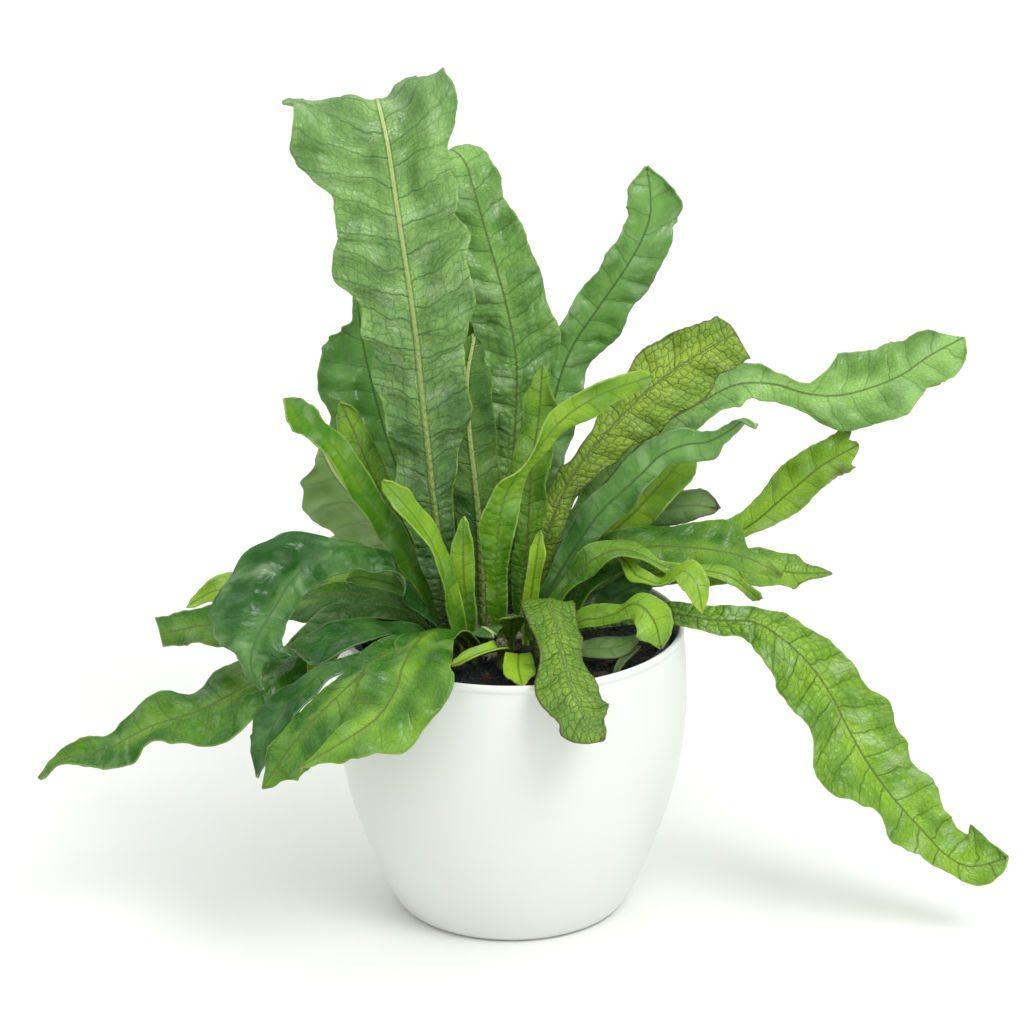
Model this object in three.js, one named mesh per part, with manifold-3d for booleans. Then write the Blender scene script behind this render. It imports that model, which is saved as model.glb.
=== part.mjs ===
// Potted crocodile fern: strap fronds with quilted faces, in a plain white cover pot.
// Millimetres, +Z up, the origin under the middle of the pot on the surface it stands on.
import * as THREE from "three";
import Module from "manifold-3d";

const wasm = await Module();
wasm.setup();

// Cover pot: a bulged round pot that stands on its flat base.
const POT_SIDES = 36;
const POT_WALL = 2.4;
const POT_FLOOR_Z = 4.5;
const POT_FLOOR_RADIUS = 62;
const POT_LIP_INSIDE = [[93.4, 164.6], [92.9, 163]];
const POT_WALL_FROM_Z = 30;
const POT_WALL_TO_Z = 155;
const POT_OUTSIDE = [
  [0, 0], [61, 0], [65, 2.6], [71.5, 15], [80.5, 37], [90, 66], [96.3, 100],
  [97.5, 125], [96.4, 150], [95.2, 160.2], [95.8, 161.2], [95.6, 164], [94.6, 165],
];

// Grow pot: the black nursery pot that stands inside the cover pot.
const GROW_SIDES = 24;
const GROW_BASE_Z = 4.9;
const GROW_BASE_RADIUS = 54;
const GROW_RIM_Z = 157;
const GROW_RIM_RADIUS = 85;
const GROW_LIP = 3.2;
const GROW_LIP_DROP = 9;
const GROW_LIP_ROUND = 0.8;
const GROW_WALL = 1.6;
const GROW_FOOT = 1.2;
const GROW_FOOT_WIDE = 4;
const DRAIN_RADIUS = 5;
const DRAIN_SIDES = 8;
const DRAIN_RING = 34;
const DRAIN_LONG = 12;
const DRAINS = 4;

// Soil: fills the grow pot to just under its rim, with a crumbly top.
const SOIL_TOP_Z = 149;
const SOIL_GAP = 0.3;
const SOIL_BASE_Z = GROW_BASE_Z + GROW_FOOT + GROW_WALL + SOIL_GAP;
const SOIL_RINGS = [0, 28, 54, 74];
const SOIL_SIDES = GROW_SIDES;
const SOIL_LUMP = 1.5;
const SOIL_EDGE_DROP = 2;

// Rhizome: creeping rootstock, half sunk in the soil between the stalks.
const RHIZOME_RADIUS = 3.9;
const RHIZOME_SIDES = 6;
const RHIZOME_STEP = 10;
const RHIZOME_LUMPS = 0.12;
const RHIZOME_BED = 1.22;
const RHIZOME_END = 0.55;
const RHIZOME_SWELL = 2.4;

// Every stalk stands in a plain round hole.
const ROOT_Z = 139;
const ROOT_RISE = 14;
const HOLE_RADIUS = 3.8;
const HOLE_SIDES = 5;
const HOLE_UNDER = 3;
const HOLE_RUN = 18;
const HOLE_TOP_Z = 159;

// Blade sections: even thickness, a ridge under the midrib that runs out towards the tip.
const BLADE = 0.9;
const STALK_HALF = 1.9;
const STALK_LONG = 14;
const RIDGE = 1.7;
const RIDGE_LOSS = 1.1;
const RIB_HALF = 1.9;
const RIB_SHARE = 0.3;
const SAMPLES = 90;

// Blade faces: rows slant forward from the midrib like the side veins, the quilt stands between
// them, and each margin has its own waves and lobes. Lengths are in mm along the frond.
const VEIN_SLANT = 0.42;
const TIP_SWEEP = 1.1;
const BLADE_FROM = 0.12;
const BLADE_FULL = 0.32;
const TIP_FROM = 0.82;
const LOBE = 0.07;
const LOBE_LONG = 9.5;
const LOBE_SHORT = 5.1;
const LOBE_SHARE = 0.6;
const WAVE_LIFT = 0.7;
const WAVE_LONG = 8.2;
const WAVE_SHORT = 4.4;
const WAVE_SHARE = 0.5;
const WAVE_POWER = 1.8;
const KEEL_POWER = 1.5;

// How finely each size of frond is cut: rows along it, columns across it, height of its quilt.
const LARGE_HALF = 20;
const LARGE_LENGTH = 170;
const MEDIUM_AREA = 1500;
const LEAST_ROWS = 4;
const CUTS = {
  large: { step: 20, sides: [0.36, 0.68], puff: 1.1 },
  medium: { step: 22, sides: [0.55], puff: 0.8 },
  small: { step: 16, sides: [], puff: 0.8 },
};
const PUFF_DIP = -0.6;

// Finishes: plain colours here, patterned ones in the render.
const TONES = {
  mid: [0x4f8f35, 0.42],
  deep: [0x2c6a3a, 0.36],
  lime: [0x86bd2a, 0.45],
  net: [0x93a93c, 0.5],
  dull: [0x5f7f4f, 0.5],
};

// Fronds, from the soil to the tip. "points" are midrib points in mm, after the root at soil level.
// "half" lists half widths in mm at fractions of the length. "face" is where the upper side looks
// at mid-length: degrees round from +X towards +Y, then degrees up. "turns" adds a twist in degrees
// at fractions of the length. "wave" is the height of the margin waves, "keel" how far both margins
// rise towards the upper side as a fraction of the half width, "tip" how far the tip is drawn out.
const FRONDS = [
  {
    name: "tall_front", tone: "mid", root: [-31, 8], face: [84, 4], wave: 5, keel: -0.16, tip: 0.2,
    turns: [[0.62, 0], [0.84, 14]],
    points: [[-34, 7, 165], [-41, 6, 223], [-47, 2, 285], [-52, 0, 339], [-61, 0, 405], [-66, 2, 439],
      [-70, 15, 452], [-72, 40, 449], [-73, 64, 431]],
    half: [[0, 2, 2], [0.1, 7, 7], [0.17, 9, 13], [0.25, 10, 20], [0.37, 24, 20], [0.45, 28, 27],
      [0.52, 31, 27], [0.57, 37, 37], [0.6, 39, 38], [0.65, 31, 33], [0.69, 29, 32], [0.71, 29, 41],
      [0.735, 33, 46], [0.76, 40, 50], [0.785, 42, 52], [0.805, 40, 51], [0.83, 38, 48], [0.86, 33, 44],
      [0.92, 27, 37], [1, 14, 18]],
  },
  {
    name: "tall_back", tone: "mid", root: [-8, 44], face: [-80, 8], wave: 4, keel: -0.1, tip: 0.3,
    points: [[-7, 50, 165], [0, 64, 226], [3, 68, 291], [-1, 71, 318], [-8, 72, 346], [-13, 74, 363],
      [-21, 80, 391], [-26, 90, 403], [-34, 102, 406], [-40, 112, 396]],
    half: [[0, 2], [0.12, 8], [0.35, 16], [0.5, 22, 24], [0.62, 24, 24], [0.75, 23, 18], [0.82, 21, 17],
      [0.88, 20, 14], [1, 9, 8]],
  },
  {
    name: "upper_right", tone: "deep", root: [10, 60], face: [-70, 20], wave: 3, keel: 0.1, tip: 0.6,
    points: [[12, 64, 168], [18, 76, 226], [26, 83, 274], [34, 86, 296], [49, 86, 320], [63, 87, 341],
      [72, 88, 357], [77, 90, 371], [77, 93, 386], [75, 96, 398]],
    half: [[0, 2, 2], [0.15, 7, 7], [0.4, 14, 14], [0.57, 14, 16], [0.67, 14, 18], [0.76, 16, 17],
      [0.83, 14, 15], [0.88, 13, 15], [0.91, 13, 20], [0.94, 13, 20], [0.96, 13, 14], [0.98, 12, 9],
      [1, 9, 5]],
  },
  {
    name: "net_right", tone: "net", root: [12, 28], face: [-75, 35], wave: 2.5, keel: -0.05, tip: 0,
    points: [[14, 30, 166], [18, 32, 196], [23, 33, 212], [30, 36, 229], [38, 37, 243], [48, 38, 256],
      [57, 38, 267], [68, 38, 279], [80, 37, 291], [94, 36, 302], [107, 35, 311], [123, 34, 321]],
    half: [[0, 2, 2], [0.15, 6, 6], [0.35, 9, 8], [0.42, 9, 9], [0.48, 5, 11], [0.54, 7, 14],
      [0.67, 13, 22], [0.75, 17, 21], [0.83, 17, 20], [0.9, 17, 17], [1, 13, 16]],
  },
  {
    name: "far_right", tone: "mid", root: [21, 52], face: [-80, 45], wave: 3, keel: 0.05, tip: 0.25,
    turns: [[0.6, 0], [0.68, 35], [0.74, 10], [0.8, 0]],
    points: [[23, 58, 168], [47, 74, 210], [82, 84, 248], [107, 85, 264], [128, 90, 273], [149, 90, 273],
      [167, 89, 268], [183, 88, 267], [200, 87, 271], [220, 86, 280], [235, 86, 291], [254, 86, 302]],
    half: [[0, 2, 2], [0.12, 7, 7], [0.4, 15, 14], [0.55, 15, 14], [0.6, 12, 9], [0.64, 7, 8],
      [0.672, 5, 9], [0.695, 6, 12], [0.71, 15, 18], [0.73, 23, 22], [0.79, 23, 22], [0.83, 22, 22],
      [0.863, 20, 19], [0.89, 19, 16], [0.918, 18, 19], [0.95, 14, 20], [0.975, 10, 19], [1, 5, 15]],
  },
  {
    name: "bright_right", tone: "mid", root: [34, 50], face: [-80, 50], wave: 2.5, keel: 0.1, tip: 0,
    points: [[38, 54, 164], [66, 68, 178], [102, 78, 182], [130, 80, 188], [158, 82, 211], [176, 82, 227],
      [197, 82, 240]],
    half: [[0, 2], [0.2, 6], [0.5, 7], [0.6, 11, 8], [0.67, 13, 9], [0.76, 15, 12], [0.87, 14, 12],
      [1, 12, 11]],
  },
  {
    name: "curly_right", tone: "deep", root: [14, 17], face: [-90, 40], wave: 3, keel: 0.12, tip: 0.6,
    turns: [[0.78, 0], [0.92, 30], [1, 60]],
    points: [[16, 18, 164], [30, 18, 192], [50, 18, 223], [61, 18, 234], [72, 18, 245], [83, 18, 256],
      [96, 17, 262], [108, 16, 264], [120, 13, 272], [127, 9, 279], [134, 5, 277]],
    half: [[0, 2], [0.18, 5], [0.45, 10], [0.6, 11, 10], [0.67, 10, 7], [0.74, 10, 10], [0.81, 7, 9],
      [0.87, 3.5, 4], [0.94, 3, 3.5], [1, 2]],
  },
  {
    name: "broad_dull", tone: "mid", root: [30, 9], face: [-85, 50], wave: 3, keel: 0.05, tip: 0,
    points: [[32, 12, 164], [47, 18, 190], [71, 18, 201], [104, 15, 202], [129, 12, 198], [150, 8, 189]],
    half: [[0, 2], [0.2, 7], [0.45, 14, 13], [0.65, 16, 15], [0.77, 18, 13], [0.86, 8, 9], [1, 1]],
  },
  {
    name: "old_grey", tone: "dull", root: [33, 38], face: [-90, 25], wave: 3, keel: 0.1, tip: 0.3,
    points: [[36, 42, 166], [50, 50, 184], [72, 53, 205], [92, 55, 212], [106, 57, 212], [117, 60, 209]],
    half: [[0, 2], [0.25, 7], [0.55, 10], [0.8, 9], [1, 9, 5]],
  },
  {
    name: "dark_point_right", tone: "mid", root: [30, 28], face: [-85, 55], wave: 2.5, keel: 0.1, tip: 0.8,
    points: [[34, 30, 162], [58, 34, 172], [100, 38, 182], [131, 42, 180], [148, 44, 178], [162, 45, 176],
      [180, 45, 176]],
    half: [[0, 2], [0.25, 8], [0.55, 12], [0.72, 13, 12], [0.86, 11], [1, 6]],
  },
  {
    name: "long_right", tone: "mid", root: [24, -1], face: [-75, 48], wave: 3, keel: -0.12, tip: 0.05,
    points: [[28, -4, 161], [50, -12, 171], [85, -22, 178], [110, -29, 177], [133, -36, 178],
      [149, -41, 169], [162, -45, 157], [173, -49, 142], [184, -52, 121], [195, -55, 102], [210, -58, 82],
      [226, -60, 64], [238, -60, 51], [251, -60, 44], [272, -60, 49]],
    half: [[0, 2], [0.12, 6], [0.31, 8, 6], [0.35, 9, 9], [0.385, 11, 14], [0.41, 16, 18], [0.43, 18, 21],
      [0.48, 24, 22], [0.53, 27, 24], [0.6, 30, 26], [0.66, 33, 28], [0.7, 30, 21], [0.735, 31, 16],
      [0.785, 28, 15], [0.82, 23, 13], [0.855, 23, 9], [0.9, 22, 8], [0.95, 21, 9], [1, 17, 11]],
  },
  {
    name: "small_curl_right", tone: "lime", root: [24, 14], face: [-100, 50], wave: 2, keel: 0.3, tip: 0.5,
    points: [[25, 14, 166], [34, 10, 187], [45, 10, 200], [55, 10, 202], [63, 6, 198], [68, -4, 194],
      [73, -12, 194], [81, -22, 195], [88, -29, 201], [94, -35, 207], [100, -41, 202], [103, -46, 188]],
    half: [[0, 2], [0.3, 2], [0.48, 2], [0.54, 4.5, 4], [0.6, 5.5, 5], [0.68, 4.5, 4], [0.76, 6, 5],
      [0.84, 8, 8], [0.92, 7.5, 8], [0.97, 5, 7], [1, 2, 4]],
  },
  {
    name: "winding_right", tone: "mid", root: [17, 7], face: [-90, 45], wave: 3, keel: 0.2, tip: 0.4,
    turns: [[0.3, 0], [0.6, -30], [1, 10]],
    points: [[19, 7, 164], [35, 5, 189], [47, 3, 201], [60, 2, 206], [72, 1, 203], [82, 0, 198],
      [93, -1, 195], [107, -2, 195], [119, -4, 193], [129, -5, 186], [137, -6, 180]],
    half: [[0, 2], [0.25, 5], [0.42, 7.5], [0.52, 8], [0.58, 6], [0.635, 3], [0.69, 2.4], [0.74, 3.5],
      [0.8, 5.5], [0.87, 5], [0.92, 2.8], [1, 2.4]],
  },
  {
    name: "hook_right", tone: "mid", root: [25, -11], face: [-85, 55], wave: 2, keel: 0.1, tip: 0.3,
    points: [[28, -15, 160], [38, -19, 172], [49, -24, 176], [58, -29, 181], [66, -34, 188],
      [72, -40, 188], [78, -46, 181], [81, -50, 169]],
    half: [[0, 2], [0.15, 3], [0.27, 7, 5], [0.38, 8, 7], [0.5, 8, 7], [0.62, 7, 8], [0.72, 7.5, 8],
      [0.81, 10, 10], [0.88, 9, 12], [0.95, 7, 11], [1, 4, 6]],
  },
  {
    name: "olive_low", tone: "dull", root: [22, -24], face: [-80, 60], wave: 1.5, keel: 0, tip: 0.2,
    points: [[24, -27, 157], [36, -33, 161], [58, -39, 165], [70, -40, 172]],
    half: [[0, 2], [0.35, 5], [0.7, 7.5], [1, 4]],
  },
  {
    name: "pale_stub", tone: "dull", root: [57, -47], face: [-60, 40], wave: 0.5, keel: 0.1, tip: 0.6,
    points: [[60, -45, 159], [70, -41, 167]],
    half: [[0, 2], [0.5, 2.4], [1, 1.6]],
  },
  {
    name: "net_front", tone: "net", root: [14, -15], face: [-80, 55], wave: 3, keel: -0.1, tip: 0.4,
    points: [[16, -19, 173], [19, -33, 191], [24, -58, 185], [28, -90, 175], [34, -110, 165],
      [41, -122, 156], [49, -128, 149]],
    half: [[0, 2], [0.15, 8], [0.3, 13], [0.45, 14], [0.62, 11, 12], [0.78, 17, 19], [0.92, 15, 17],
      [1, 10]],
  },
  {
    name: "front_left", tone: "mid", root: [-20, -26], face: [-110, 62], wave: 3, keel: -0.12, tip: 0.5,
    points: [[-24, -30, 167], [-38, -48, 179], [-46, -64, 182], [-51, -78, 182], [-57, -97, 177],
      [-60, -109, 170], [-69, -121, 159], [-87, -131, 149], [-111, -137, 136]],
    half: [[0, 2], [0.12, 8], [0.25, 12, 8], [0.33, 16, 12], [0.4, 19, 14], [0.5, 25, 16], [0.55, 28, 20],
      [0.6, 28, 20], [0.68, 26, 17], [0.79, 16, 9], [0.87, 9, 7], [0.96, 4, 3], [1, 1.5]],
  },
  {
    name: "front_left_under", tone: "mid", root: [-29, -19], face: [-120, 60], wave: 2, keel: -0.1, tip: 0.5,
    points: [[-33, -24, 162], [-46, -41, 171], [-62, -66, 176], [-86, -92, 164], [-112, -104, 140],
      [-132, -110, 113]],
    half: [[0, 2], [0.2, 7], [0.45, 18, 13], [0.7, 22, 14], [0.9, 15, 11], [1, 6, 5]],
  },
  {
    name: "narrow_left", tone: "deep", root: [-37, -12], face: [-120, 60], wave: 1.5, keel: 0.1, tip: 0.6,
    points: [[-41, -18, 159], [-49, -32, 164], [-57, -41, 167], [-67, -50, 168], [-86, -63, 168],
      [-101, -70, 163], [-111, -76, 155], [-120, -80, 148], [-128, -84, 135], [-133, -85, 123],
      [-136, -86, 109]],
    half: [[0, 2], [0.25, 4], [0.47, 5, 2.4], [0.58, 7, 5], [0.665, 9, 7], [0.73, 12, 10], [0.82, 12, 13],
      [0.9, 9, 11], [0.95, 6, 7], [1, 2]],
  },
  {
    name: "long_left", tone: "mid", root: [-44, 8], face: [-100, 60], wave: 3, keel: 0.1, tip: 0.8,
    points: [[-49, 6, 161], [-66, -2, 170], [-92, -10, 174], [-118, -29, 155], [-146, -52, 146],
      [-170, -58, 135], [-195, -60, 127], [-219, -60, 114], [-243, -61, 108], [-257, -62, 98]],
    half: [[0, 2], [0.15, 5], [0.3, 7, 8], [0.42, 17, 12], [0.51, 23, 15], [0.56, 25, 17], [0.61, 24, 17],
      [0.665, 19, 18], [0.715, 14, 18], [0.775, 13, 14], [0.825, 11, 12], [0.88, 8, 9], [0.93, 6, 7],
      [0.97, 3, 4], [1, 1.5]],
  },
  {
    name: "dark_left", tone: "deep", root: [-43, -8], face: [-90, 60], wave: 2, keel: 0.15, tip: 0.5,
    points: [[-47, -12, 161], [-61, -23, 169], [-74, -35, 174], [-87, -44, 174], [-98, -49, 172],
      [-109, -51, 170], [-120, -52, 169]],
    half: [[0, 2], [0.2, 4], [0.4, 6, 7], [0.6, 11, 9], [0.8, 12, 11], [0.92, 10, 12], [1, 5, 8]],
  },
  {
    name: "upper_left_low", tone: "mid", root: [-44, 27], face: [-85, 45], wave: 2, keel: 0.1, tip: 0.5,
    points: [[-48, 29, 163], [-60, 32, 171], [-76, 32, 177], [-86, 31, 179], [-92, 30, 178]],
    half: [[0, 2], [0.3, 5], [0.6, 6], [0.85, 6], [1, 4]],
  },
  {
    name: "arching_left", tone: "deep", root: [-35, -2], face: [-112, 55], wave: 3, keel: -0.15, tip: 0.7,
    points: [[-40, -5, 167], [-47, -8, 176], [-58, -14, 193], [-68, -22, 209], [-79, -28, 218],
      [-90, -33, 221], [-100, -38, 220], [-110, -43, 214], [-119, -50, 206], [-126, -58, 196],
      [-133, -67, 187], [-138, -76, 177], [-138, -83, 170], [-132, -88, 160]],
    half: [[0, 2], [0.14, 6], [0.3, 12, 9], [0.42, 17, 8], [0.5, 17, 9], [0.53, 16, 13], [0.58, 13, 23],
      [0.63, 11, 31], [0.7, 10, 34], [0.77, 11, 33], [0.81, 14, 28], [0.86, 20, 20], [0.91, 20, 9],
      [0.95, 10, 5], [1, 1.5]],
  },
  {
    name: "left_behind", tone: "mid", root: [-51, 16], face: [-90, 50], wave: 2.5, keel: 0.05, tip: 0,
    points: [[-55, 16, 162], [-64, 16, 170], [-79, 16, 174], [-93, 16, 175], [-112, 17, 171],
      [-129, 19, 167], [-147, 21, 161], [-165, 22, 155], [-182, 21, 152], [-196, 19, 149]],
    half: [[0, 2], [0.15, 5], [0.3, 10, 6], [0.38, 13, 6.5], [0.5, 15, 7], [0.65, 16, 10], [0.78, 17, 12],
      [0.89, 12, 12], [1, 6, 11]],
  },
  {
    name: "bright_left", tone: "lime", root: [-43, 38], face: [-90, 40], wave: 2.5, keel: 0.1, tip: 0.6,
    points: [[-47, 40, 163], [-64, 44, 174], [-88, 46, 178], [-122, 44, 175], [-154, 43, 169],
      [-169, 41, 166], [-182, 40, 158]],
    half: [[0, 2], [0.2, 6], [0.5, 10], [0.8, 9], [1, 3]],
  },
  {
    name: "small_tip_left", tone: "lime", root: [-51, -2], face: [-100, 50], wave: 1, keel: 0.2, tip: 0.6,
    points: [[-57, -7, 161], [-72, -18, 167], [-88, -30, 168], [-100, -40, 163], [-105, -48, 156],
      [-102, -54, 149]],
    half: [[0, 2], [0.4, 3.5], [0.6, 3.5], [0.8, 7], [0.92, 6], [1, 3]],
  },
  {
    name: "young_left", tone: "lime", root: [-40, 16], face: [-60, 20], wave: 2, keel: 0.25, tip: 0.6,
    points: [[-43, 15, 166], [-52, 11, 188], [-63, 9, 207], [-70, 7, 220], [-79, 3, 236], [-88, -1, 254],
      [-97, -5, 269], [-106, -8, 280], [-115, -10, 290], [-122, -12, 298]],
    half: [[0, 2], [0.2, 6], [0.5, 8], [0.75, 8, 7.5], [0.85, 8, 6.5], [0.93, 10, 8], [0.98, 8, 7],
      [1, 5]],
  },
  {
    name: "young_round", tone: "mid", root: [-33, 24], face: [-70, 20], wave: 2, keel: 0.15, tip: 0.5,
    points: [[-36, 24, 164], [-52, 24, 190], [-66, 22, 218], [-78, 18, 248], [-87, 14, 273],
      [-93, 12, 288]],
    half: [[0, 2], [0.2, 6], [0.5, 9, 8], [0.8, 9, 8], [0.93, 8, 7.5], [1, 5.5]],
  },
  {
    name: "lime_twisted_left", tone: "lime", root: [-26, -12],
    face: [-60, 15], wave: 1.5, keel: 0.35, tip: 0.4,
    turns: [[0.3, 0], [0.6, 40], [1, -10]],
    points: [[-29, -14, 166], [-35, -17, 192], [-43, -19, 217], [-55, -21, 237], [-69, -23, 255]],
    half: [[0, 2], [0.25, 5], [0.6, 8], [0.85, 7], [1, 4]],
  },
  {
    name: "back_left_dark", tone: "deep", root: [-28, 57], face: [-80, 10], wave: 4, keel: 0.05, tip: 0.4,
    points: [[-32, 64, 166], [-50, 86, 192], [-67, 100, 225], [-77, 107, 258], [-84, 111, 290],
      [-88, 115, 322]],
    half: [[0, 2], [0.2, 12, 10], [0.4, 30, 20], [0.53, 34, 26], [0.64, 30, 27], [0.74, 28, 25],
      [0.8, 25, 24], [0.835, 20, 22], [0.87, 11, 20], [0.92, 4, 14], [1, 2, 6]],
  },
  {
    name: "back_left_pale", tone: "dull", root: [-41, 50], face: [95, 5], wave: 4, keel: 0.1, tip: 0.2,
    points: [[-46, 55, 164], [-64, 70, 184], [-83, 80, 203], [-100, 86, 222], [-109, 92, 240]],
    half: [[0, 2], [0.25, 8, 9], [0.45, 15, 25], [0.6, 17, 31], [0.7, 18, 29], [0.81, 18, 19],
      [0.91, 14, 7], [1, 8, 3]],
  },
  {
    name: "centre_upright", tone: "mid", root: [-16, 22], face: [95, 5], wave: 3, keel: 0.1, tip: 0.5,
    points: [[-16, 24, 166], [-18, 27, 216], [-23, 28, 268], [-24, 29, 297], [-20, 32, 320]],
    half: [[0, 2], [0.2, 8], [0.5, 14], [0.8, 15], [1, 7]],
  },
  {
    name: "small_tongue", tone: "lime", root: [-22, -3], face: [-90, 5], wave: 1.5, keel: 0.15, tip: 0.6,
    points: [[-23, -5, 164], [-26, -7, 196], [-26, -8, 229]],
    half: [[0, 2], [0.4, 5], [0.75, 6.5], [1, 3]],
  },
  {
    name: "centre_tongue", tone: "mid", root: [4, 22], face: [-90, 8], wave: 2.5, keel: 0.1, tip: 0.6,
    points: [[5, 22, 164], [9, 20, 205], [11, 18, 247], [15, 16, 277], [17, 14, 308]],
    half: [[0, 2], [0.3, 7], [0.6, 10.5], [0.85, 9.5], [1, 4]],
  },
  {
    name: "lime_twisted_right", tone: "lime", root: [-6, 2],
    face: [-90, 15], wave: 2, keel: 0.2, tip: 0.4,
    turns: [[0.35, 0], [0.6, 60], [0.75, 20], [1, 0]],
    points: [[-7, 0, 166], [-8, -5, 203], [-3, -9, 242], [13, -12, 268], [29, -13, 288], [50, -14, 302],
      [76, -15, 312]],
    half: [[0, 2], [0.2, 6], [0.4, 10], [0.6, 6], [0.8, 9], [1, 5]],
  },
  {
    name: "lime_finger", tone: "lime", root: [8, 0], face: [-90, 10], wave: 1, keel: 0.2, tip: 0.7,
    points: [[9, -2, 166], [12, -5, 190], [16, -8, 221]],
    half: [[0, 2], [0.4, 4.5], [0.8, 4.5], [1, 2]],
  },
  {
    name: "behind_net", tone: "mid", root: [21, 66], face: [-80, 25], wave: 3, keel: 0.1, tip: 0.4,
    points: [[24, 71, 166], [40, 88, 190], [58, 103, 231], [77, 107, 266], [98, 107, 300]],
    half: [[0, 2], [0.25, 7], [0.6, 13], [0.85, 13], [1, 6]],
  },
  {
    name: "jagged_right", tone: "lime", root: [22, 39], face: [-80, 30], wave: 3, keel: 0.1, tip: 0.4,
    points: [[25, 40, 166], [45, 42, 190], [69, 42, 214], [88, 42, 236], [104, 42, 256]],
    half: [[0, 2], [0.3, 7], [0.65, 12], [0.9, 10], [1, 5]],
  },
  {
    name: "dark_low_right", tone: "deep", root: [36, 18], face: [-90, 40], wave: 1.5, keel: 0.1, tip: 0.5,
    points: [[39, 20, 161], [54, 25, 169], [82, 28, 180]],
    half: [[0, 2], [0.4, 7], [0.8, 10], [1, 4]],
  },
  {
    name: "rolled_lime_front", tone: "lime", root: [-6, -28],
    face: [-90, 60], wave: 1, keel: 0.5, tip: 0.3,
    points: [[-6, -33, 160], [-8, -42, 165], [-18, -50, 165], [-32, -57, 161]],
    half: [[0, 2], [0.4, 5], [0.75, 5], [1, 3]],
  },
  {
    name: "lime_lobe_front", tone: "lime", root: [5, -31], face: [-90, 60], wave: 1, keel: 0.1, tip: 0.6,
    points: [[5, -38, 160], [4, -52, 165], [4, -72, 165], [6, -90, 163]],
    half: [[0, 2], [0.4, 6], [0.75, 9], [1, 4]],
  },
  {
    name: "dark_front", tone: "deep", root: [-14, -11], face: [-90, 40], wave: 2, keel: 0.1, tip: 0.4,
    points: [[-16, -14, 163], [-15, -24, 170], [-9, -36, 171]],
    half: [[0, 2], [0.4, 6], [0.75, 9], [1, 5]],
  },
  {
    name: "mid_lobe_front", tone: "mid", root: [0, -9], face: [-80, 45], wave: 1.5, keel: 0.1, tip: 0.4,
    points: [[0, -11, 163], [1, -17, 173], [4, -24, 177]],
    half: [[0, 2], [0.4, 5], [0.75, 7], [1, 4]],
  },
  {
    name: "back_arch", tone: "mid", root: [-2, 62], face: [90, 72], wave: 3, keel: 0.1, tip: 0.6,
    points: [[-2, 68, 166], [0, 96, 204], [2, 128, 220], [4, 158, 206], [6, 180, 176]],
    half: [[0, 2], [0.2, 7], [0.55, 17], [0.85, 14], [1, 4]],
  },
  {
    name: "back_right_low", tone: "mid", root: [9, 72], face: [60, 70], wave: 3, keel: 0.1, tip: 0.6,
    points: [[13, 77, 163], [36, 102, 176], [66, 130, 178], [92, 154, 164]],
    half: [[0, 2], [0.3, 8], [0.65, 14], [0.9, 10], [1, 4]],
  },
  {
    name: "back_left_low", tone: "mid", root: [-31, 68], face: [120, 70], wave: 3, keel: 0.1, tip: 0.6,
    points: [[-35, 73, 163], [-56, 100, 176], [-84, 126, 174], [-106, 144, 156]],
    half: [[0, 2], [0.3, 8], [0.65, 14], [0.9, 10], [1, 4]],
  },
  {
    name: "back_tall", tone: "deep", root: [-22, 48], face: [-95, 8], wave: 3, keel: 0.1, tip: 0.5,
    points: [[-24, 54, 166], [-28, 76, 230], [-30, 92, 290], [-26, 104, 328]],
    half: [[0, 2], [0.25, 10], [0.6, 18], [0.85, 15], [1, 6]],
  },
  {
    name: "back_bend", tone: "lime", root: [-14, 72], face: [105, 70], wave: 3, keel: 0.1, tip: 0.6,
    points: [[-16, 78, 165], [-28, 106, 194], [-42, 136, 204], [-52, 162, 188]],
    half: [[0, 2], [0.25, 7], [0.6, 12], [0.85, 11], [1, 4]],
  },
];

// A repeatable draw between 0 and 1 for a seed and a place in the list.
function draw(seed, place) {
  const value = Math.sin(seed * 12.9898 + place * 78.233) * 43758.5453;
  return value - Math.floor(value);
}

function smooth(value) {
  const v = Math.min(1, Math.max(0, value));
  return v * v * (3 - 2 * v);
}

// Reads a list of [place, value] rows with eased steps between them. A row may hold a second value
// for the side that lies to the left of the upper side, seen with the tip up.
function eased(list, place, column = 1) {
  const value = (row) => row[column] ?? row[1];
  for (let k = 1; k < list.length; k += 1) {
    if (place <= list[k][0]) {
      const part = (place - list[k - 1][0]) / (list[k][0] - list[k - 1][0]);
      return value(list[k - 1]) + (value(list[k]) - value(list[k - 1])) * smooth(part);
    }
  }
  return value(list[list.length - 1]);
}

function direction(azimuth, elevation) {
  const a = THREE.MathUtils.degToRad(azimuth);
  const e = THREE.MathUtils.degToRad(elevation);
  return new THREE.Vector3(Math.cos(e) * Math.cos(a), Math.cos(e) * Math.sin(a), Math.sin(e));
}

function square(vector, tangent) {
  return vector.clone().addScaledVector(tangent, -vector.dot(tangent)).normalize();
}

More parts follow.
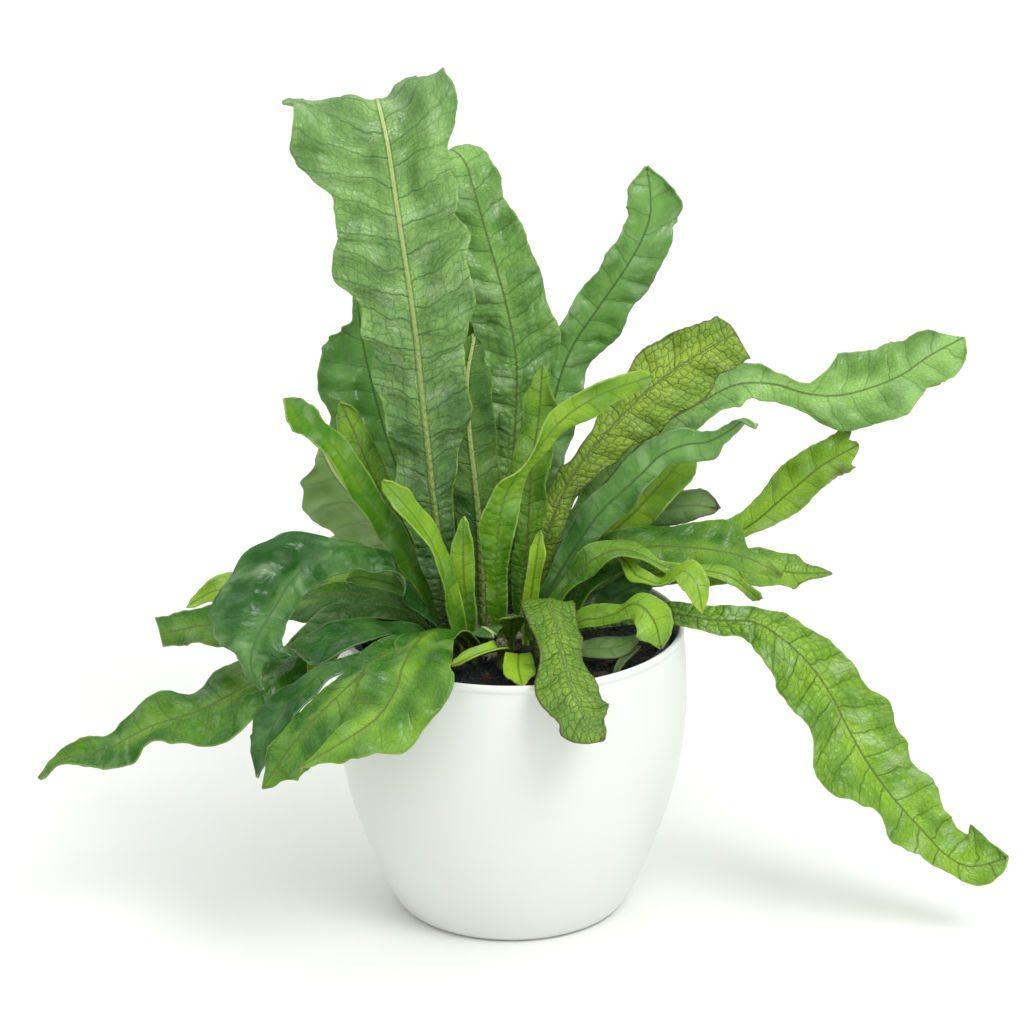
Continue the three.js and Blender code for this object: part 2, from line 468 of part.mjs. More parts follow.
// The midrib as evenly spaced places, each with its tangent and the way its upper side looks.
function midrib(frond) {
  const [x, y] = frond.root;
  const points = [[x, y, ROOT_Z], [x, y, ROOT_Z + ROOT_RISE], ...frond.points];
  const curve = new THREE.CatmullRomCurve3(
    points.map((p) => new THREE.Vector3(...p)), false, "centripetal");
  const places = [];
  for (let k = 0; k <= SAMPLES; k += 1) {
    places.push({ p: curve.getPointAt(k / SAMPLES) });
  }
  for (let k = 0; k <= SAMPLES; k += 1) {
    const before = places[Math.max(0, k - 1)].p;
    const after = places[Math.min(SAMPLES, k + 1)].p;
    places[k].t = after.clone().sub(before).normalize();
  }
  const middle = SAMPLES / 2;
  places[middle].n = square(direction(...frond.face), places[middle].t);
  for (let k = middle + 1; k <= SAMPLES; k += 1) {
    places[k].n = square(places[k - 1].n, places[k].t);
  }
  for (let k = middle - 1; k >= 0; k -= 1) {
    places[k].n = square(places[k + 1].n, places[k].t);
  }
  return { places, length: curve.getLength() };
}

function frameAt(rib, place) {
  const at = Math.min(1, Math.max(0, place)) * SAMPLES;
  const k = Math.min(SAMPLES - 1, Math.floor(at));
  const part = at - k;
  const a = rib.places[k];
  const b = rib.places[k + 1];
  const t = a.t.clone().lerp(b.t, part).normalize();
  return { p: a.p.clone().lerp(b.p, part), t, n: square(a.n.clone().lerp(b.n, part), t) };
}

// Two sine waves of their own phase, for one margin of one frond.
function ripple(run, long, short, share, seed, first) {
  return Math.sin(run / long + 2 * Math.PI * draw(seed, first)) +
    share * Math.sin(run / short + 2 * Math.PI * draw(seed, first + 2));
}

// One point of the blade's middle sheet: place runs from root to tip, side from margin to margin.
function sheetPoint(frond, rib, seed, place, side, quilt) {
  const reach = Math.abs(side);
  const run = place * rib.length;
  const wide = eased(frond.half, place, side > 0 ? 2 : 1);
  const half = STALK_HALF + (wide - STALK_HALF) * smooth((run - STALK_LONG) / STALK_LONG);
  const grown = smooth((place - BLADE_FROM) / (BLADE_FULL - BLADE_FROM));
  const nearTip = smooth((place - TIP_FROM) / (1 - TIP_FROM));
  const sweep = frond.tip * TIP_SWEEP * side * side * nearTip;
  const slant = VEIN_SLANT * reach * grown * (1 - nearTip) - sweep;
  const frame = frameAt(rib, place + slant * half / rib.length);
  const turn = THREE.MathUtils.degToRad(frond.turns ? eased(frond.turns, place) : 0);
  const across = new THREE.Vector3().crossVectors(frame.t, frame.n);
  const up = frame.n.clone().multiplyScalar(Math.cos(turn)).addScaledVector(across, Math.sin(turn));
  across.crossVectors(frame.t, up);
  const margin = side < 0 ? 0 : 1;
  const lobe = 1 + grown * LOBE * ripple(run, LOBE_LONG, LOBE_SHORT, LOBE_SHARE, seed, margin);
  const swing = ripple(run, WAVE_LONG, WAVE_SHORT, WAVE_SHARE, seed, 4 + margin);
  const wave = grown * frond.wave * WAVE_LIFT * Math.pow(reach, WAVE_POWER) * swing;
  const keel = frond.keel * half * Math.pow(reach, KEEL_POWER);
  const rise = wave + keel + grown * quilt;
  return frame.p.addScaledVector(across, side * half * lobe).addScaledVector(up, rise);
}

function sizeOf(widest, length) {
  if (widest >= LARGE_HALF && length > LARGE_LENGTH) {
    return "large";
  }
  return length * widest > MEDIUM_AREA ? "medium" : "small";
}

// Columns across the blade: margins, quilt, and a narrow midrib in the middle.
function columns(size, widest) {
  if (size === "small") {
    return [-1, -0.5, 0, 0.5, 1];
  }
  const inner = [Math.min(RIB_SHARE, RIB_HALF / widest), ...CUTS[size].sides, 1];
  return [...inner.map((value) => -value).reverse(), 0, ...inner];
}

// The middle sheet of a frond as rows of points.
function frondSheet(frond, seed) {
  const rib = midrib(frond);
  const widest = Math.max(...frond.half.map((row) => row[1]));
  const size = sizeOf(widest, rib.length);
  const across = columns(size, widest);
  const middle = (across.length - 1) / 2;
  const ribColumns = size === "small" ? 0 : 1;
  const rows = Math.max(LEAST_ROWS, Math.round(rib.length / CUTS[size].step / 2) * 2);
  const first = STALK_LONG / rib.length;
  const sheet = [];
  for (let i = 0; i <= rows; i += 1) {
    const place = i === 0 ? 0 : first + (1 - first) * (i - 1) / (rows - 1);
    const row = [];
    for (let j = 0; j < across.length; j += 1) {
      const step = Math.abs(j - middle) - ribColumns;
      const inside = step > 0 && j > 0 && j < across.length - 1;
      const quilt = inside ? CUTS[size].puff * ((i + step) % 2 === 0 ? 1 : PUFF_DIP) : 0;
      row.push(sheetPoint(frond, rib, seed, place, across[j], quilt));
    }
    sheet.push(row);
  }
  return sheet;
}

// Both skins of a sheet: the upper side is plain, the underside carries the midrib's ridge.
function skins(sheet) {
  const rows = sheet.length - 1;
  const count = sheet[0].length;
  const tops = [];
  const bottoms = [];
  for (let i = 0; i <= rows; i += 1) {
    for (let j = 0; j < count; j += 1) {
      const along = sheet[Math.min(rows, i + 1)][j].clone().sub(sheet[Math.max(0, i - 1)][j]);
      const over = sheet[i][Math.min(count - 1, j + 1)].clone().sub(sheet[i][Math.max(0, j - 1)]);
      const normal = over.cross(along).normalize();
      const ridge = j === (count - 1) / 2 ? RIDGE - RIDGE_LOSS * (i / rows) : 0;
      tops.push(...sheet[i][j].clone().addScaledVector(normal, BLADE / 2).toArray());
      bottoms.push(...sheet[i][j].clone().addScaledVector(normal, -BLADE / 2 - ridge).toArray());
    }
  }
  return [...tops, ...bottoms];
}

// A frond as one closed blade, cut into the same triangles on both sides.
function frondSolid(frond, seed) {
  const sheet = frondSheet(frond, seed);
  const rows = sheet.length - 1;
  const count = sheet[0].length;
  const under = (rows + 1) * count;
  const index = (i, j) => i * count + j;
  const faces = [];
  const edges = [];
  for (let i = 0; i < rows; i += 1) {
    for (let j = 0; j < count - 1; j += 1) {
      const [a, b, c, d] = [index(i, j), index(i, j + 1), index(i + 1, j + 1), index(i + 1, j)];
      const cuts = (i + j) % 2 === 0 ? [[a, b, c], [a, c, d]] : [[a, b, d], [b, c, d]];
      for (const [p, q, r] of cuts) {
        faces.push(p, q, r, under + p, under + r, under + q);
      }
    }
    edges.push([index(i, 0), index(i + 1, 0)], [index(i + 1, count - 1), index(i, count - 1)]);
  }
  for (let j = 0; j < count - 1; j += 1) {
    edges.push([index(0, j + 1), index(0, j)], [index(rows, j), index(rows, j + 1)]);
  }
  for (const [p, q] of edges) {
    faces.push(p, q, under + q, p, under + q, under + p);
  }
  return { vertices: skins(sheet), faces };
}

function toManifold({ vertices, faces }) {
  return new wasm.Manifold(new wasm.Mesh({
    numProp: 3,
    vertProperties: new Float32Array(vertices),
    triVerts: new Uint32Array(faces),
  }));
}

function fromManifold(solid) {
  const mesh = solid.getMesh();
  return { vertices: Array.from(mesh.vertProperties), faces: Array.from(mesh.triVerts) };
}

// A closed turned solid from a profile of [radius, z] pairs that starts and ends on the axis.
function turned(profile, sides) {
  const vertices = [0, 0, profile[0][1]];
  const rings = profile.slice(1, -1);
  for (const [radius, z] of rings) {
    for (let k = 0; k < sides; k += 1) {
      const angle = 2 * Math.PI * k / sides;
      vertices.push(radius * Math.cos(angle), radius * Math.sin(angle), z);
    }
  }
  const last = 1 + rings.length * sides;
  vertices.push(0, 0, profile[profile.length - 1][1]);
  const faces = [];
  for (let k = 0; k < sides; k += 1) {
    const next = (k + 1) % sides;
    faces.push(0, 1 + next, 1 + k);
    for (let r = 0; r < rings.length - 1; r += 1) {
      const [a, b] = [1 + r * sides + k, 1 + r * sides + next];
      const [c, d] = [a + sides, b + sides];
      faces.push(a, b, d, a, d, c);
    }
    const top = 1 + (rings.length - 1) * sides;
    faces.push(last, top + k, top + next);
  }
  return { vertices, faces };
}

function coverPot() {
  const wall = POT_OUTSIDE.filter(([, z]) => z > POT_WALL_FROM_Z && z < POT_WALL_TO_Z);
  const inside = wall.reverse().map(([radius, z]) => [radius - POT_WALL, z]);
  return turned([
    ...POT_OUTSIDE, ...POT_LIP_INSIDE, ...inside, [POT_FLOOR_RADIUS, POT_FLOOR_Z], [0, POT_FLOOR_Z],
  ], POT_SIDES);
}

// Radius of the grow pot's outside at a height.
function growRadius(z) {
  const part = (z - GROW_BASE_Z) / (GROW_RIM_Z - GROW_BASE_Z);
  return GROW_BASE_RADIUS + (GROW_RIM_RADIUS - GROW_BASE_RADIUS) * part;
}

function growPot() {
  const under = GROW_BASE_Z + GROW_FOOT;
  const floor = under + GROW_WALL;
  const lip = GROW_RIM_Z - GROW_LIP_DROP;
  const foot = GROW_BASE_RADIUS - GROW_FOOT_WIDE;
  const rim = GROW_RIM_RADIUS + GROW_LIP;
  const shell = toManifold(turned([
    [0, under], [foot - 1, under], [foot, GROW_BASE_Z], [GROW_BASE_RADIUS, GROW_BASE_Z],
    [growRadius(lip), lip], [growRadius(lip) + GROW_LIP, lip],
    [rim, GROW_RIM_Z - GROW_LIP_ROUND], [rim - GROW_LIP_ROUND, GROW_RIM_Z],
    [GROW_RIM_RADIUS - GROW_WALL, GROW_RIM_Z], [growRadius(floor) - GROW_WALL, floor], [0, floor],
  ], GROW_SIDES));
  let holes = null;
  for (let k = 0; k < DRAINS; k += 1) {
    const angle = 2 * Math.PI * k / DRAINS;
    const hole = wasm.Manifold.cylinder(DRAIN_LONG, DRAIN_RADIUS, DRAIN_RADIUS, DRAIN_SIDES, true)
      .translate([DRAIN_RING * Math.cos(angle), DRAIN_RING * Math.sin(angle), floor]);
    holes = holes ? holes.add(hole) : hole;
  }
  return fromManifold(shell.subtract(holes));
}

// A plain hole that follows the foot of a stalk up through the soil.
function stalkHole(frond) {
  const { places, length } = midrib(frond);
  const low = places[0].p;
  const high = places[Math.round(SAMPLES * HOLE_RUN / length)].p;
  const lean = [(high.x - low.x) / (high.z - low.z), (high.y - low.y) / (high.z - low.z)];
  const vertices = [];
  for (const z of [ROOT_Z - HOLE_UNDER, HOLE_TOP_Z]) {
    for (let k = 0; k < HOLE_SIDES; k += 1) {
      const angle = 2 * Math.PI * k / HOLE_SIDES;
      vertices.push(low.x + lean[0] * (z - low.z) + HOLE_RADIUS * Math.cos(angle),
        low.y + lean[1] * (z - low.z) + HOLE_RADIUS * Math.sin(angle), z);
    }
  }
  const faces = [];
  for (let k = 0; k < HOLE_SIDES; k += 1) {
    const next = (k + 1) % HOLE_SIDES;
    faces.push(k, next, HOLE_SIDES + next, k, HOLE_SIDES + next, HOLE_SIDES + k);
    if (k > 1) {
      faces.push(0, k, k - 1, HOLE_SIDES, HOLE_SIDES + k - 1, HOLE_SIDES + k);
    }
  }
  return toManifold({ vertices, faces });
}

function stalkHoles() {
  let holes = null;
  for (const frond of FRONDS) {
    const hole = stalkHole(frond);
    holes = holes ? holes.add(hole) : hole;
  }
  return holes;
}

// Height of the crumbly top: two crossed sets of lumps, one broad and one fine.
function soilHeight(x, y) {
  return SOIL_TOP_Z + SOIL_LUMP * (Math.sin(x / 9 + 1.3) * Math.cos(y / 11) +
    0.6 * Math.sin((x + y) / 6.1) * Math.cos((x - y) / 7.3));
}

function soilBlock() {
  const edge = SOIL_TOP_Z - SOIL_EDGE_DROP;
  const wall = growRadius(edge) - GROW_WALL - SOIL_GAP;
  const low = growRadius(SOIL_BASE_Z) - GROW_WALL - SOIL_GAP;
  const vertices = [0, 0, soilHeight(0, 0)];
  const rings = [...SOIL_RINGS.slice(1), wall];
  for (const radius of rings) {
    for (let k = 0; k < SOIL_SIDES; k += 1) {
      const angle = 2 * Math.PI * k / SOIL_SIDES;
      const [x, y] = [radius * Math.cos(angle), radius * Math.sin(angle)];
      vertices.push(x, y, radius === wall ? edge : soilHeight(x, y));
    }
  }
  for (let k = 0; k < SOIL_SIDES; k += 1) {
    const angle = 2 * Math.PI * k / SOIL_SIDES;
    vertices.push(low * Math.cos(angle), low * Math.sin(angle), SOIL_BASE_Z);
  }
  vertices.push(0, 0, SOIL_BASE_Z);
  const last = vertices.length / 3 - 1;
  const faces = [];
  for (let k = 0; k < SOIL_SIDES; k += 1) {
    const next = (k + 1) % SOIL_SIDES;
    faces.push(0, 1 + k, 1 + next);
    for (let r = 0; r < rings.length; r += 1) {
      const [a, b] = [1 + r * SOIL_SIDES + k, 1 + r * SOIL_SIDES + next];
      const [c, d] = [a + SOIL_SIDES, b + SOIL_SIDES];
      faces.push(a, c, d, a, d, b);
    }
    faces.push(last, last - SOIL_SIDES + next, last - SOIL_SIDES + k);
  }
  return { vertices, faces };
}

// Branches of the rootstock as [x, y, z] points along their middle.
const RHIZOME_BRANCHES = [
  [[-40, 46, 150], [-33, 26, 151], [-26, 14, 152], [-17, 13, 156]],
  [[-33, 26, 151], [-14, 33, 151], [6, 40, 150], [22, 48, 151], [34, 40, 149]],
  [[-14, 33, 151], [-2, 14, 151], [10, 9, 150], [24, 6, 150]],
  [[-2, 14, 151], [-7, -6, 150], [-16, -18, 149]],
];

function rhizomeTube(points, radius, lumps) {
  const curve = new THREE.CatmullRomCurve3(
    points.map((p) => new THREE.Vector3(...p)), false, "centripetal");
  const steps = Math.max(LEAST_ROWS, Math.round(curve.getLength() / RHIZOME_STEP));
  const vertices = [];
  const faces = [];
  const first = curve.getPointAt(0);
  vertices.push(first.x, first.y, first.z);
  for (let i = 0; i <= steps; i += 1) {
    const part = i / steps;
    const place = curve.getPointAt(part);
    const tangent = curve.getTangentAt(part);
    const up = square(new THREE.Vector3(0, 0, 1), tangent);
    const over = new THREE.Vector3().crossVectors(up, tangent);
    const end = Math.min(1, RHIZOME_END + RHIZOME_SWELL * Math.min(part, 1 - part));
    for (let k = 0; k < RHIZOME_SIDES; k += 1) {
      const angle = 2 * Math.PI * (k + 0.5 * (i % 2)) / RHIZOME_SIDES;
      const size = radius * end * (1 + lumps * ((i + k) % 2));
      const point = place.clone().addScaledVector(up, size * Math.sin(angle))
        .addScaledVector(over, size * Math.cos(angle));
      vertices.push(point.x, point.y, point.z);
    }
  }
  const final = curve.getPointAt(1);
  vertices.push(final.x, final.y, final.z);
  const last = vertices.length / 3 - 1;
  for (let k = 0; k < RHIZOME_SIDES; k += 1) {
    const next = (k + 1) % RHIZOME_SIDES;
    faces.push(0, 1 + next, 1 + k);
    for (let i = 0; i < steps; i += 1) {
      const [a, b] = [1 + i * RHIZOME_SIDES + k, 1 + i * RHIZOME_SIDES + next];
      const [c, d] = [a + RHIZOME_SIDES, b + RHIZOME_SIDES];
      faces.push(a, b, d, a, d, c);
    }
    faces.push(last, last - RHIZOME_SIDES + k, last - RHIZOME_SIDES + next);
  }
  return toManifold({ vertices, faces });
}

function rhizomeSolid(radius, lumps) {
  let solid = null;
  for (const points of RHIZOME_BRANCHES) {
    const tube = rhizomeTube(points, radius, lumps);
    solid = solid ? solid.add(tube) : tube;
  }
  return solid;
}

// Keeps the largest body of a solid, so no loose scrap stays beside it.
function largest(solid) {
  const bodies = solid.decompose();
  return bodies.sort((a, b) => b.volume() - a.volume())[0];
}

function soilSolid(holes) {
  const bed = rhizomeSolid(RHIZOME_RADIUS * RHIZOME_BED, 0);
  return fromManifold(largest(toManifold(soilBlock()).subtract(holes).subtract(bed)));
}

function rhizome(holes) {
  return fromManifold(largest(rhizomeSolid(RHIZOME_RADIUS, RHIZOME_LUMPS).subtract(holes)));
}

function material(color, roughness) {
  return new THREE.MeshStandardMaterial({ color, roughness, metalness: 0, flatShading: true });
}

function potFinish() {
  return material(0xe9ebe9, 0.4);
}

function growPotFinish() {
  return material(0x17191b, 0.5);
}

function soilFinish() {
  return material(0x1b1a18, 0.95);
}

function rhizomeFinish() {
  return material(0xa3ad8a, 0.8);
}

function frondFinish(tone) {
  return material(...TONES[tone]);
}

function named(name, { vertices, faces }, finish) {
  const geometry = new THREE.BufferGeometry();
  geometry.setAttribute("position", new THREE.Float32BufferAttribute(vertices, 3));
  geometry.setIndex(faces);
  geometry.computeVertexNormals();
  const mesh = new THREE.Mesh(geometry, finish);
  mesh.name = name;
  return mesh;
}

function pottedFern() {
  const group = new THREE.Group();
  group.name = "potted_crocodile_fern";
  const holes = stalkHoles();
  group.add(named("cover_pot", coverPot(), potFinish()));
  group.add(named("grow_pot", growPot(), growPotFinish()));
  group.add(named("soil", soilSolid(holes), soilFinish()));
  group.add(named("rhizome", rhizome(holes), rhizomeFinish()));
  FRONDS.forEach((frond, k) => {
    group.add(named(`frond_${frond.name}`, frondSolid(frond, k + 1), frondFinish(frond.tone)));
  });
  return group;
}

export default pottedFern();
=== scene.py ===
"""Potted crocodile fern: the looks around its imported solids.

The fronds are rebuilt finer from the same midribs and widths as the solids, with quilted faces, veins and
cut margins. The pots, the soil and the rootstock get smooth or crumbly stand-ins of the same form.
Tables and constants are in millimetres, and Blender gets metres.
"""

import math
from typing import NamedTuple

import bpy
import numpy as np
from bpy.props import FloatProperty, FloatVectorProperty, IntProperty, PointerProperty
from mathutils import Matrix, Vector


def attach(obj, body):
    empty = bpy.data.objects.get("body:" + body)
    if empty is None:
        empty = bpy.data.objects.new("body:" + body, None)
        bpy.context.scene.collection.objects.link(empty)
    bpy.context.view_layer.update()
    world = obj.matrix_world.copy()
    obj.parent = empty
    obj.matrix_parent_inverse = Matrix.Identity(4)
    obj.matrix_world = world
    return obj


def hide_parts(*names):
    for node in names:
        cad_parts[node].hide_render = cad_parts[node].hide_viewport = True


bl_info = {
    "name": "Potted crocodile fern",
    "version": (1, 0, 0),
    "blender": (4, 5, 0),
    "location": "3D View > Sidebar > Fern",
    "description": "Dresses the packed solids of a potted crocodile fern",
    "category": "Object",
}

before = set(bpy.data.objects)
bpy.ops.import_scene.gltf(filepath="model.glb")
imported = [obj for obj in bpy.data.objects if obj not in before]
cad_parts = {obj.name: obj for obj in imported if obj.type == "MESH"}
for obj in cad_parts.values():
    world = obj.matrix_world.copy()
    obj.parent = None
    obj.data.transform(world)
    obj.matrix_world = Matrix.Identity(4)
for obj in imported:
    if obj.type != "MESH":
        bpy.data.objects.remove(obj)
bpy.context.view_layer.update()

MM = 0.001
BODY = "root"

# The kinds of node that the trees use most.
MATH, VECTOR, RANGE, MIX = "ShaderNodeMath", "ShaderNodeVectorMath", "ShaderNodeMapRange", "ShaderNodeMix"
SPLIT, JOIN, NOISE = "ShaderNodeSeparateXYZ", "ShaderNodeCombineXYZ", "ShaderNodeTexNoise"
MOVE = "GeometryNodeSetPosition"

# Cover pot: outer profile as [radius, z], a bulged side under a thin rounded lip.
POT_SIDES = 144
POT_FOOT = ((0, 0), (60.2, 0), (62.6, 0.5), (65, 2.6))
POT_SIDE = ((65, 2.6), (71.5, 15), (80.5, 37), (90, 66), (96.3, 100), (97.5, 125), (96.4, 150), (95.2, 160.2))
POT_LIP = ((95.25, 160.7), (95.75, 161.2), (95.8, 162.6), (95.55, 164), (94.9, 164.8), (94.1, 165),
           (93.4, 164.7), (92.95, 164))
POT_WALL = 2.4
POT_WALL_FROM_Z = 30
POT_FLOOR_Z = 4.5
POT_FLOOR_RADIUS = 62
POT_SIDE_RINGS = 60

# Grow pot: profile as [radius, z], a tapered nursery pot with a turned-out lip and a raised floor.
GROW_SIDES = 96
GROW_OUTSIDE = ((0, 6.1), (49, 6.1), (50, 4.9), (54, 4.9), (83.16, 148), (86.36, 148.1), (88.1, 156.3), (87.5, 156.9))
GROW_INSIDE = ((83.5, 156.9), (83.3, 156.2), (52.95, 7.7), (0, 7.7))

# Soil: a crumbly top in the grow pot.
SOIL_RADIUS = 81
SOIL_FOOT_RADIUS = 53
SOIL_FOOT_Z = 8.1
SOIL_TOP_Z = 149
SOIL_RINGS = 44
SOIL_SIDES = 132
SOIL_LUMP = 1.5
SOIL_BROAD = (9, 11)
SOIL_FINE = (6.1, 7.3)
SOIL_FINE_SHARE = 0.6
SOIL_ROUGH = 0.55
SOIL_EDGE_DROP = 2

# Rootstock: creeping branches half sunk in the soil.
RHIZOME_RADIUS = 3.9
RHIZOME_SIDES = 20
RHIZOME_STEP = 1.4
RHIZOME_END = 1.3
RHIZOME_ROUGH = 0.03
RHIZOME_BRANCHES = (
    ((-40, 46, 150), (-33, 26, 151), (-26, 14, 152), (-17, 13, 156)),
    ((-33, 26, 151), (-14, 33, 151), (6, 40, 150), (22, 48, 151), (34, 40, 149)),
    ((-14, 33, 151), (-2, 14, 151), (10, 9, 150), (24, 6, 150)),
    ((-2, 14, 151), (-7, -6, 150), (-16, -18, 149)),
)

# Blade form, as in the solids: the hidden foot and the stalk, where on the length the blade and its tip begin, and
# how far rows slant forward from the midrib, like the side veins, and sweep back at the tip.
ROOT_Z = 139
ROOT_RISE = 14
STALK_HALF = 1.9
STALK_LONG = 14
SAMPLES = 360
BLADE_FROM, BLADE_FULL = 0.12, 0.32
TIP_FROM = 0.82
VEIN_SLANT = 0.42
TIP_SWEEP = 1.1

# Lobes of the margin, as a share of the half width, and its waves, each two sines with lengths in mm; the keel.
LOBE = 0.07
LOBE_LONG = 9.5
LOBE_SHORT = 5.1
LOBE_SHARE = 0.6
WAVE_LIFT = 0.7
WAVE_LONG = 8.2
WAVE_SHORT = 4.4
WAVE_SHARE = 0.5
WAVE_POWER = 1.8
KEEL_POWER = 1.5

# Relief: the ridge's depth at the root, what it loses by the tip and its half width; where on the length the net
# fades in or out; the margin that stays calm; and the half width, all in mm, that has full swells.
RIDGE, RIDGE_LOSS, RIDGE_SIDE = 1.7, 1.1, 2.2
NET_FROM, NET_TO = 0.3, 0.85
CALM_MARGIN = 6
FULL_SWELL = 34

# What the finer blade adds: small teeth at its margins, a rounded tip, and columns that crowd at the midrib.
TOOTH = 0.22
TOOTH_LONG = 3.7
TOOTH_SHORT = 1.15
TOOTH_SHARE = 0.8
TOOTH_POWER = 8
TOOTH_FULL = 12
TIP_ROUND = 0.8
TIP_RIM = 0.25
CROWDING = 1.1

# Midrib: half width of the dark line above and of the pale ridge underneath, from the root to the tip.
RIB_HALF = 0.85
RIB_TAPER = -0.4
RIDGE_HALF = 2.0
RIDGE_TAPER = -1.1

# Vein pattern: the side veins' slow bends and small kinks (noise scale for each mm, reach in mm), how far the two
# sides are out of step in strips and in cells, the broad swells' noise scale, and each frond's step in the pattern.
BEND_SCALE, BEND_REACH = 0.034, 13
KINK_SCALE, KINK_REACH = 0.19, 3.4
STRIPS_APART = 0.45
CELLS_APART = 17
SWELL_SCALE = 0.024
PATTERN_STEP = 407

# Blade skins: where a strip's crest is, in strips from its side vein, and how near, in metres, the two skins join.
STRIP_CREST = 0.45
SKIN_JOIN = 1e-6

# Leaf colours that all tones share, as sRGB hex: the pale painted sheen on glossy patches, underside, the ridge
# from root to tip, dried margin, and the scaly foot of the stalk.
PAINTED_SHEEN = "B4CFA0"
UNDERSIDE = "C9D6B4"
RIDGE_ROOT, RIDGE_TIP = "6E8F35", "C3CF86"
DRIED = "5B4632"
FOOT = "3E4A23"

# Leaf noises: scale for each mm of the broad clouds and of the grain, and the scale across and by strip of the
# banded noise that places the painted sheen and frays the dried tip.
CLOUD_SCALE, GRAIN_SCALE = 0.035, 0.5
SHEEN_AND_FRAY_SCALE = (0.05, 1.1, 0.0)

# Strewn flakes: the noise that lumps them, the span of their sizes, and the angle that full disorder tumbles them by.
FLAKE_LUMPS = 1.4
FLAKE_SIZES = (0.45, 1.35)
FLAKE_TUMBLE = 3.14

# Draws: large odd numbers that scatter a sine.
DRAW_STEPS = (12.9898, 78.233, 43758.5453)

# Camera: the photograph's long lens, looking slightly down.
CAMERA_PLACE = (0.5, -2000, 949)
CAMERA_TILT = 19.8
CAMERA_LENS = 136.7
CAMERA_SENSOR = 36

# Studio walls: how far aside the side walls start and end, and how high the light overhead is full.
SIDES_FROM, SIDES_FULL = 0.2, 0.9
OVERHEAD_FULL = 0.9

# Floor: a sheet that reaches far past the picture, a hair below the pot.
FLOOR_HALF = 9000
FLOOR_Z = -0.3

# Key light: a large soft lamp up to the right of the camera, in metres.
KEY_PLACE = (0.85, -1.2, 1.9)
KEY_AIM = (0, 0, 0.2)
KEY_SIZE = 0.9


class Tone(NamedTuple):
    """A frond's colours as sRGB hex, the width in mm and strength of its margin's line, its gloss, the height of
    its cells in mm, the strength of its fine relief, of its net (and its share at the tip) and of its side veins,
    the size of a cell in mm, and the slot that its pieces share."""

    light: str
    dark: str
    vein: str
    rib: str
    margin: str
    edge: float
    edging: float
    roughness: float
    puff: float
    relief: float
    net: float
    net_tip: float
    veins: float
    cell: float
    slot: str


TONES = {
    "mid": Tone("88B52E", "2F650F", "3A5C1A", "54692C", "9DBB50",
                0.9, 0.35, 0.3, 1.8, 1.0, 0.75, 0.25, 0.6, 6.0, "frond_mid"),
    # Painted sheen: "pale" is "mid" with paler, bluer colours for the tall fronds whose upper faces catch a whitish
    # sheen, in the same slot.
    "pale": Tone("8EBD60", "2F641B", "38592A", "54692C", "9DBB50",
                 0.9, 0.35, 0.3, 1.8, 1.0, 0.75, 0.25, 0.6, 6.0, "frond_mid"),
    # Painted shade: a darker, more saturated copy of the mid colours for a frond deep in the crown, in the same slot,
    # with a calmer net and relief.
    "shaded_mid": Tone("6CA022", "235A0C", "2C4F14", "3F5F24", "8CA65A",
                 0.9, 0.5, 0.35, 0.7, 0.6, 0.25, 0.4, 0.45, 7.0, "frond_mid"),
    "deep": Tone("6A9B48", "205517", "284F1C", "40602E", "7F9B6A",
                 0.9, 0.35, 0.27, 1.2, 0.8, 0.4, 0.3, 0.5, 7.5, "frond_deep"),
    "lime": Tone("97BF2C", "457E12", "4B741C", "5B7F2A", "B9CF68",
                 0.9, 0.35, 0.3, 0.9, 0.7, 0.35, 0.4, 0.45, 6.0, "frond_lime"),
    "net": Tone("A2C044", "5F8922", "41591F", "627A38", "5E4A40",
                1.4, 0.6, 0.42, 0.7, 0.9, 0.8, 1.0, 0.5, 4.2, "frond_net"),
    "dull": Tone("74984C", "355A20", "34501F", "53683C", "6E6A55",
                 1.2, 0.6, 0.42, 0.7, 0.6, 0.25, 0.4, 0.45, 7.0, "frond_dull"),
}


class Frond(NamedTuple):
    """One frond, from the soil to the tip. "root" is where it leaves the soil; "face" is where the upper side
    looks at mid-length, degrees round from +X towards +Y and degrees up; "wave" is the height of the margin's
    waves, "keel" how far both margins rise and "tip" how far the tip is drawn out; "shade" goes from its tone's
    dark colour to the light one, partly the frond's own colour and partly painted shade for fronds deep in the
    crown; "quilt" is how strongly the cells stand out, and "sheen_and_fray" how pale the painted sheen on its
    glossy patches is. "points" are the midrib's, after the root; "half" has half widths at fractions of the length,
    with a second value where the two sides differ; "turns" adds a twist in degrees at fractions of the length;
    "bite" cuts into the tip at (side, depth, width), and "dry" browns it."""

    name: str
    tone: str
    root: tuple
    face: tuple
    wave: float
    keel: float
    tip: float
    shade: float
    quilt: float
    sheen_and_fray: float
    points: tuple
    half: tuple
    turns: tuple = ()
    bite: tuple = ()
    dry: float = 0.15


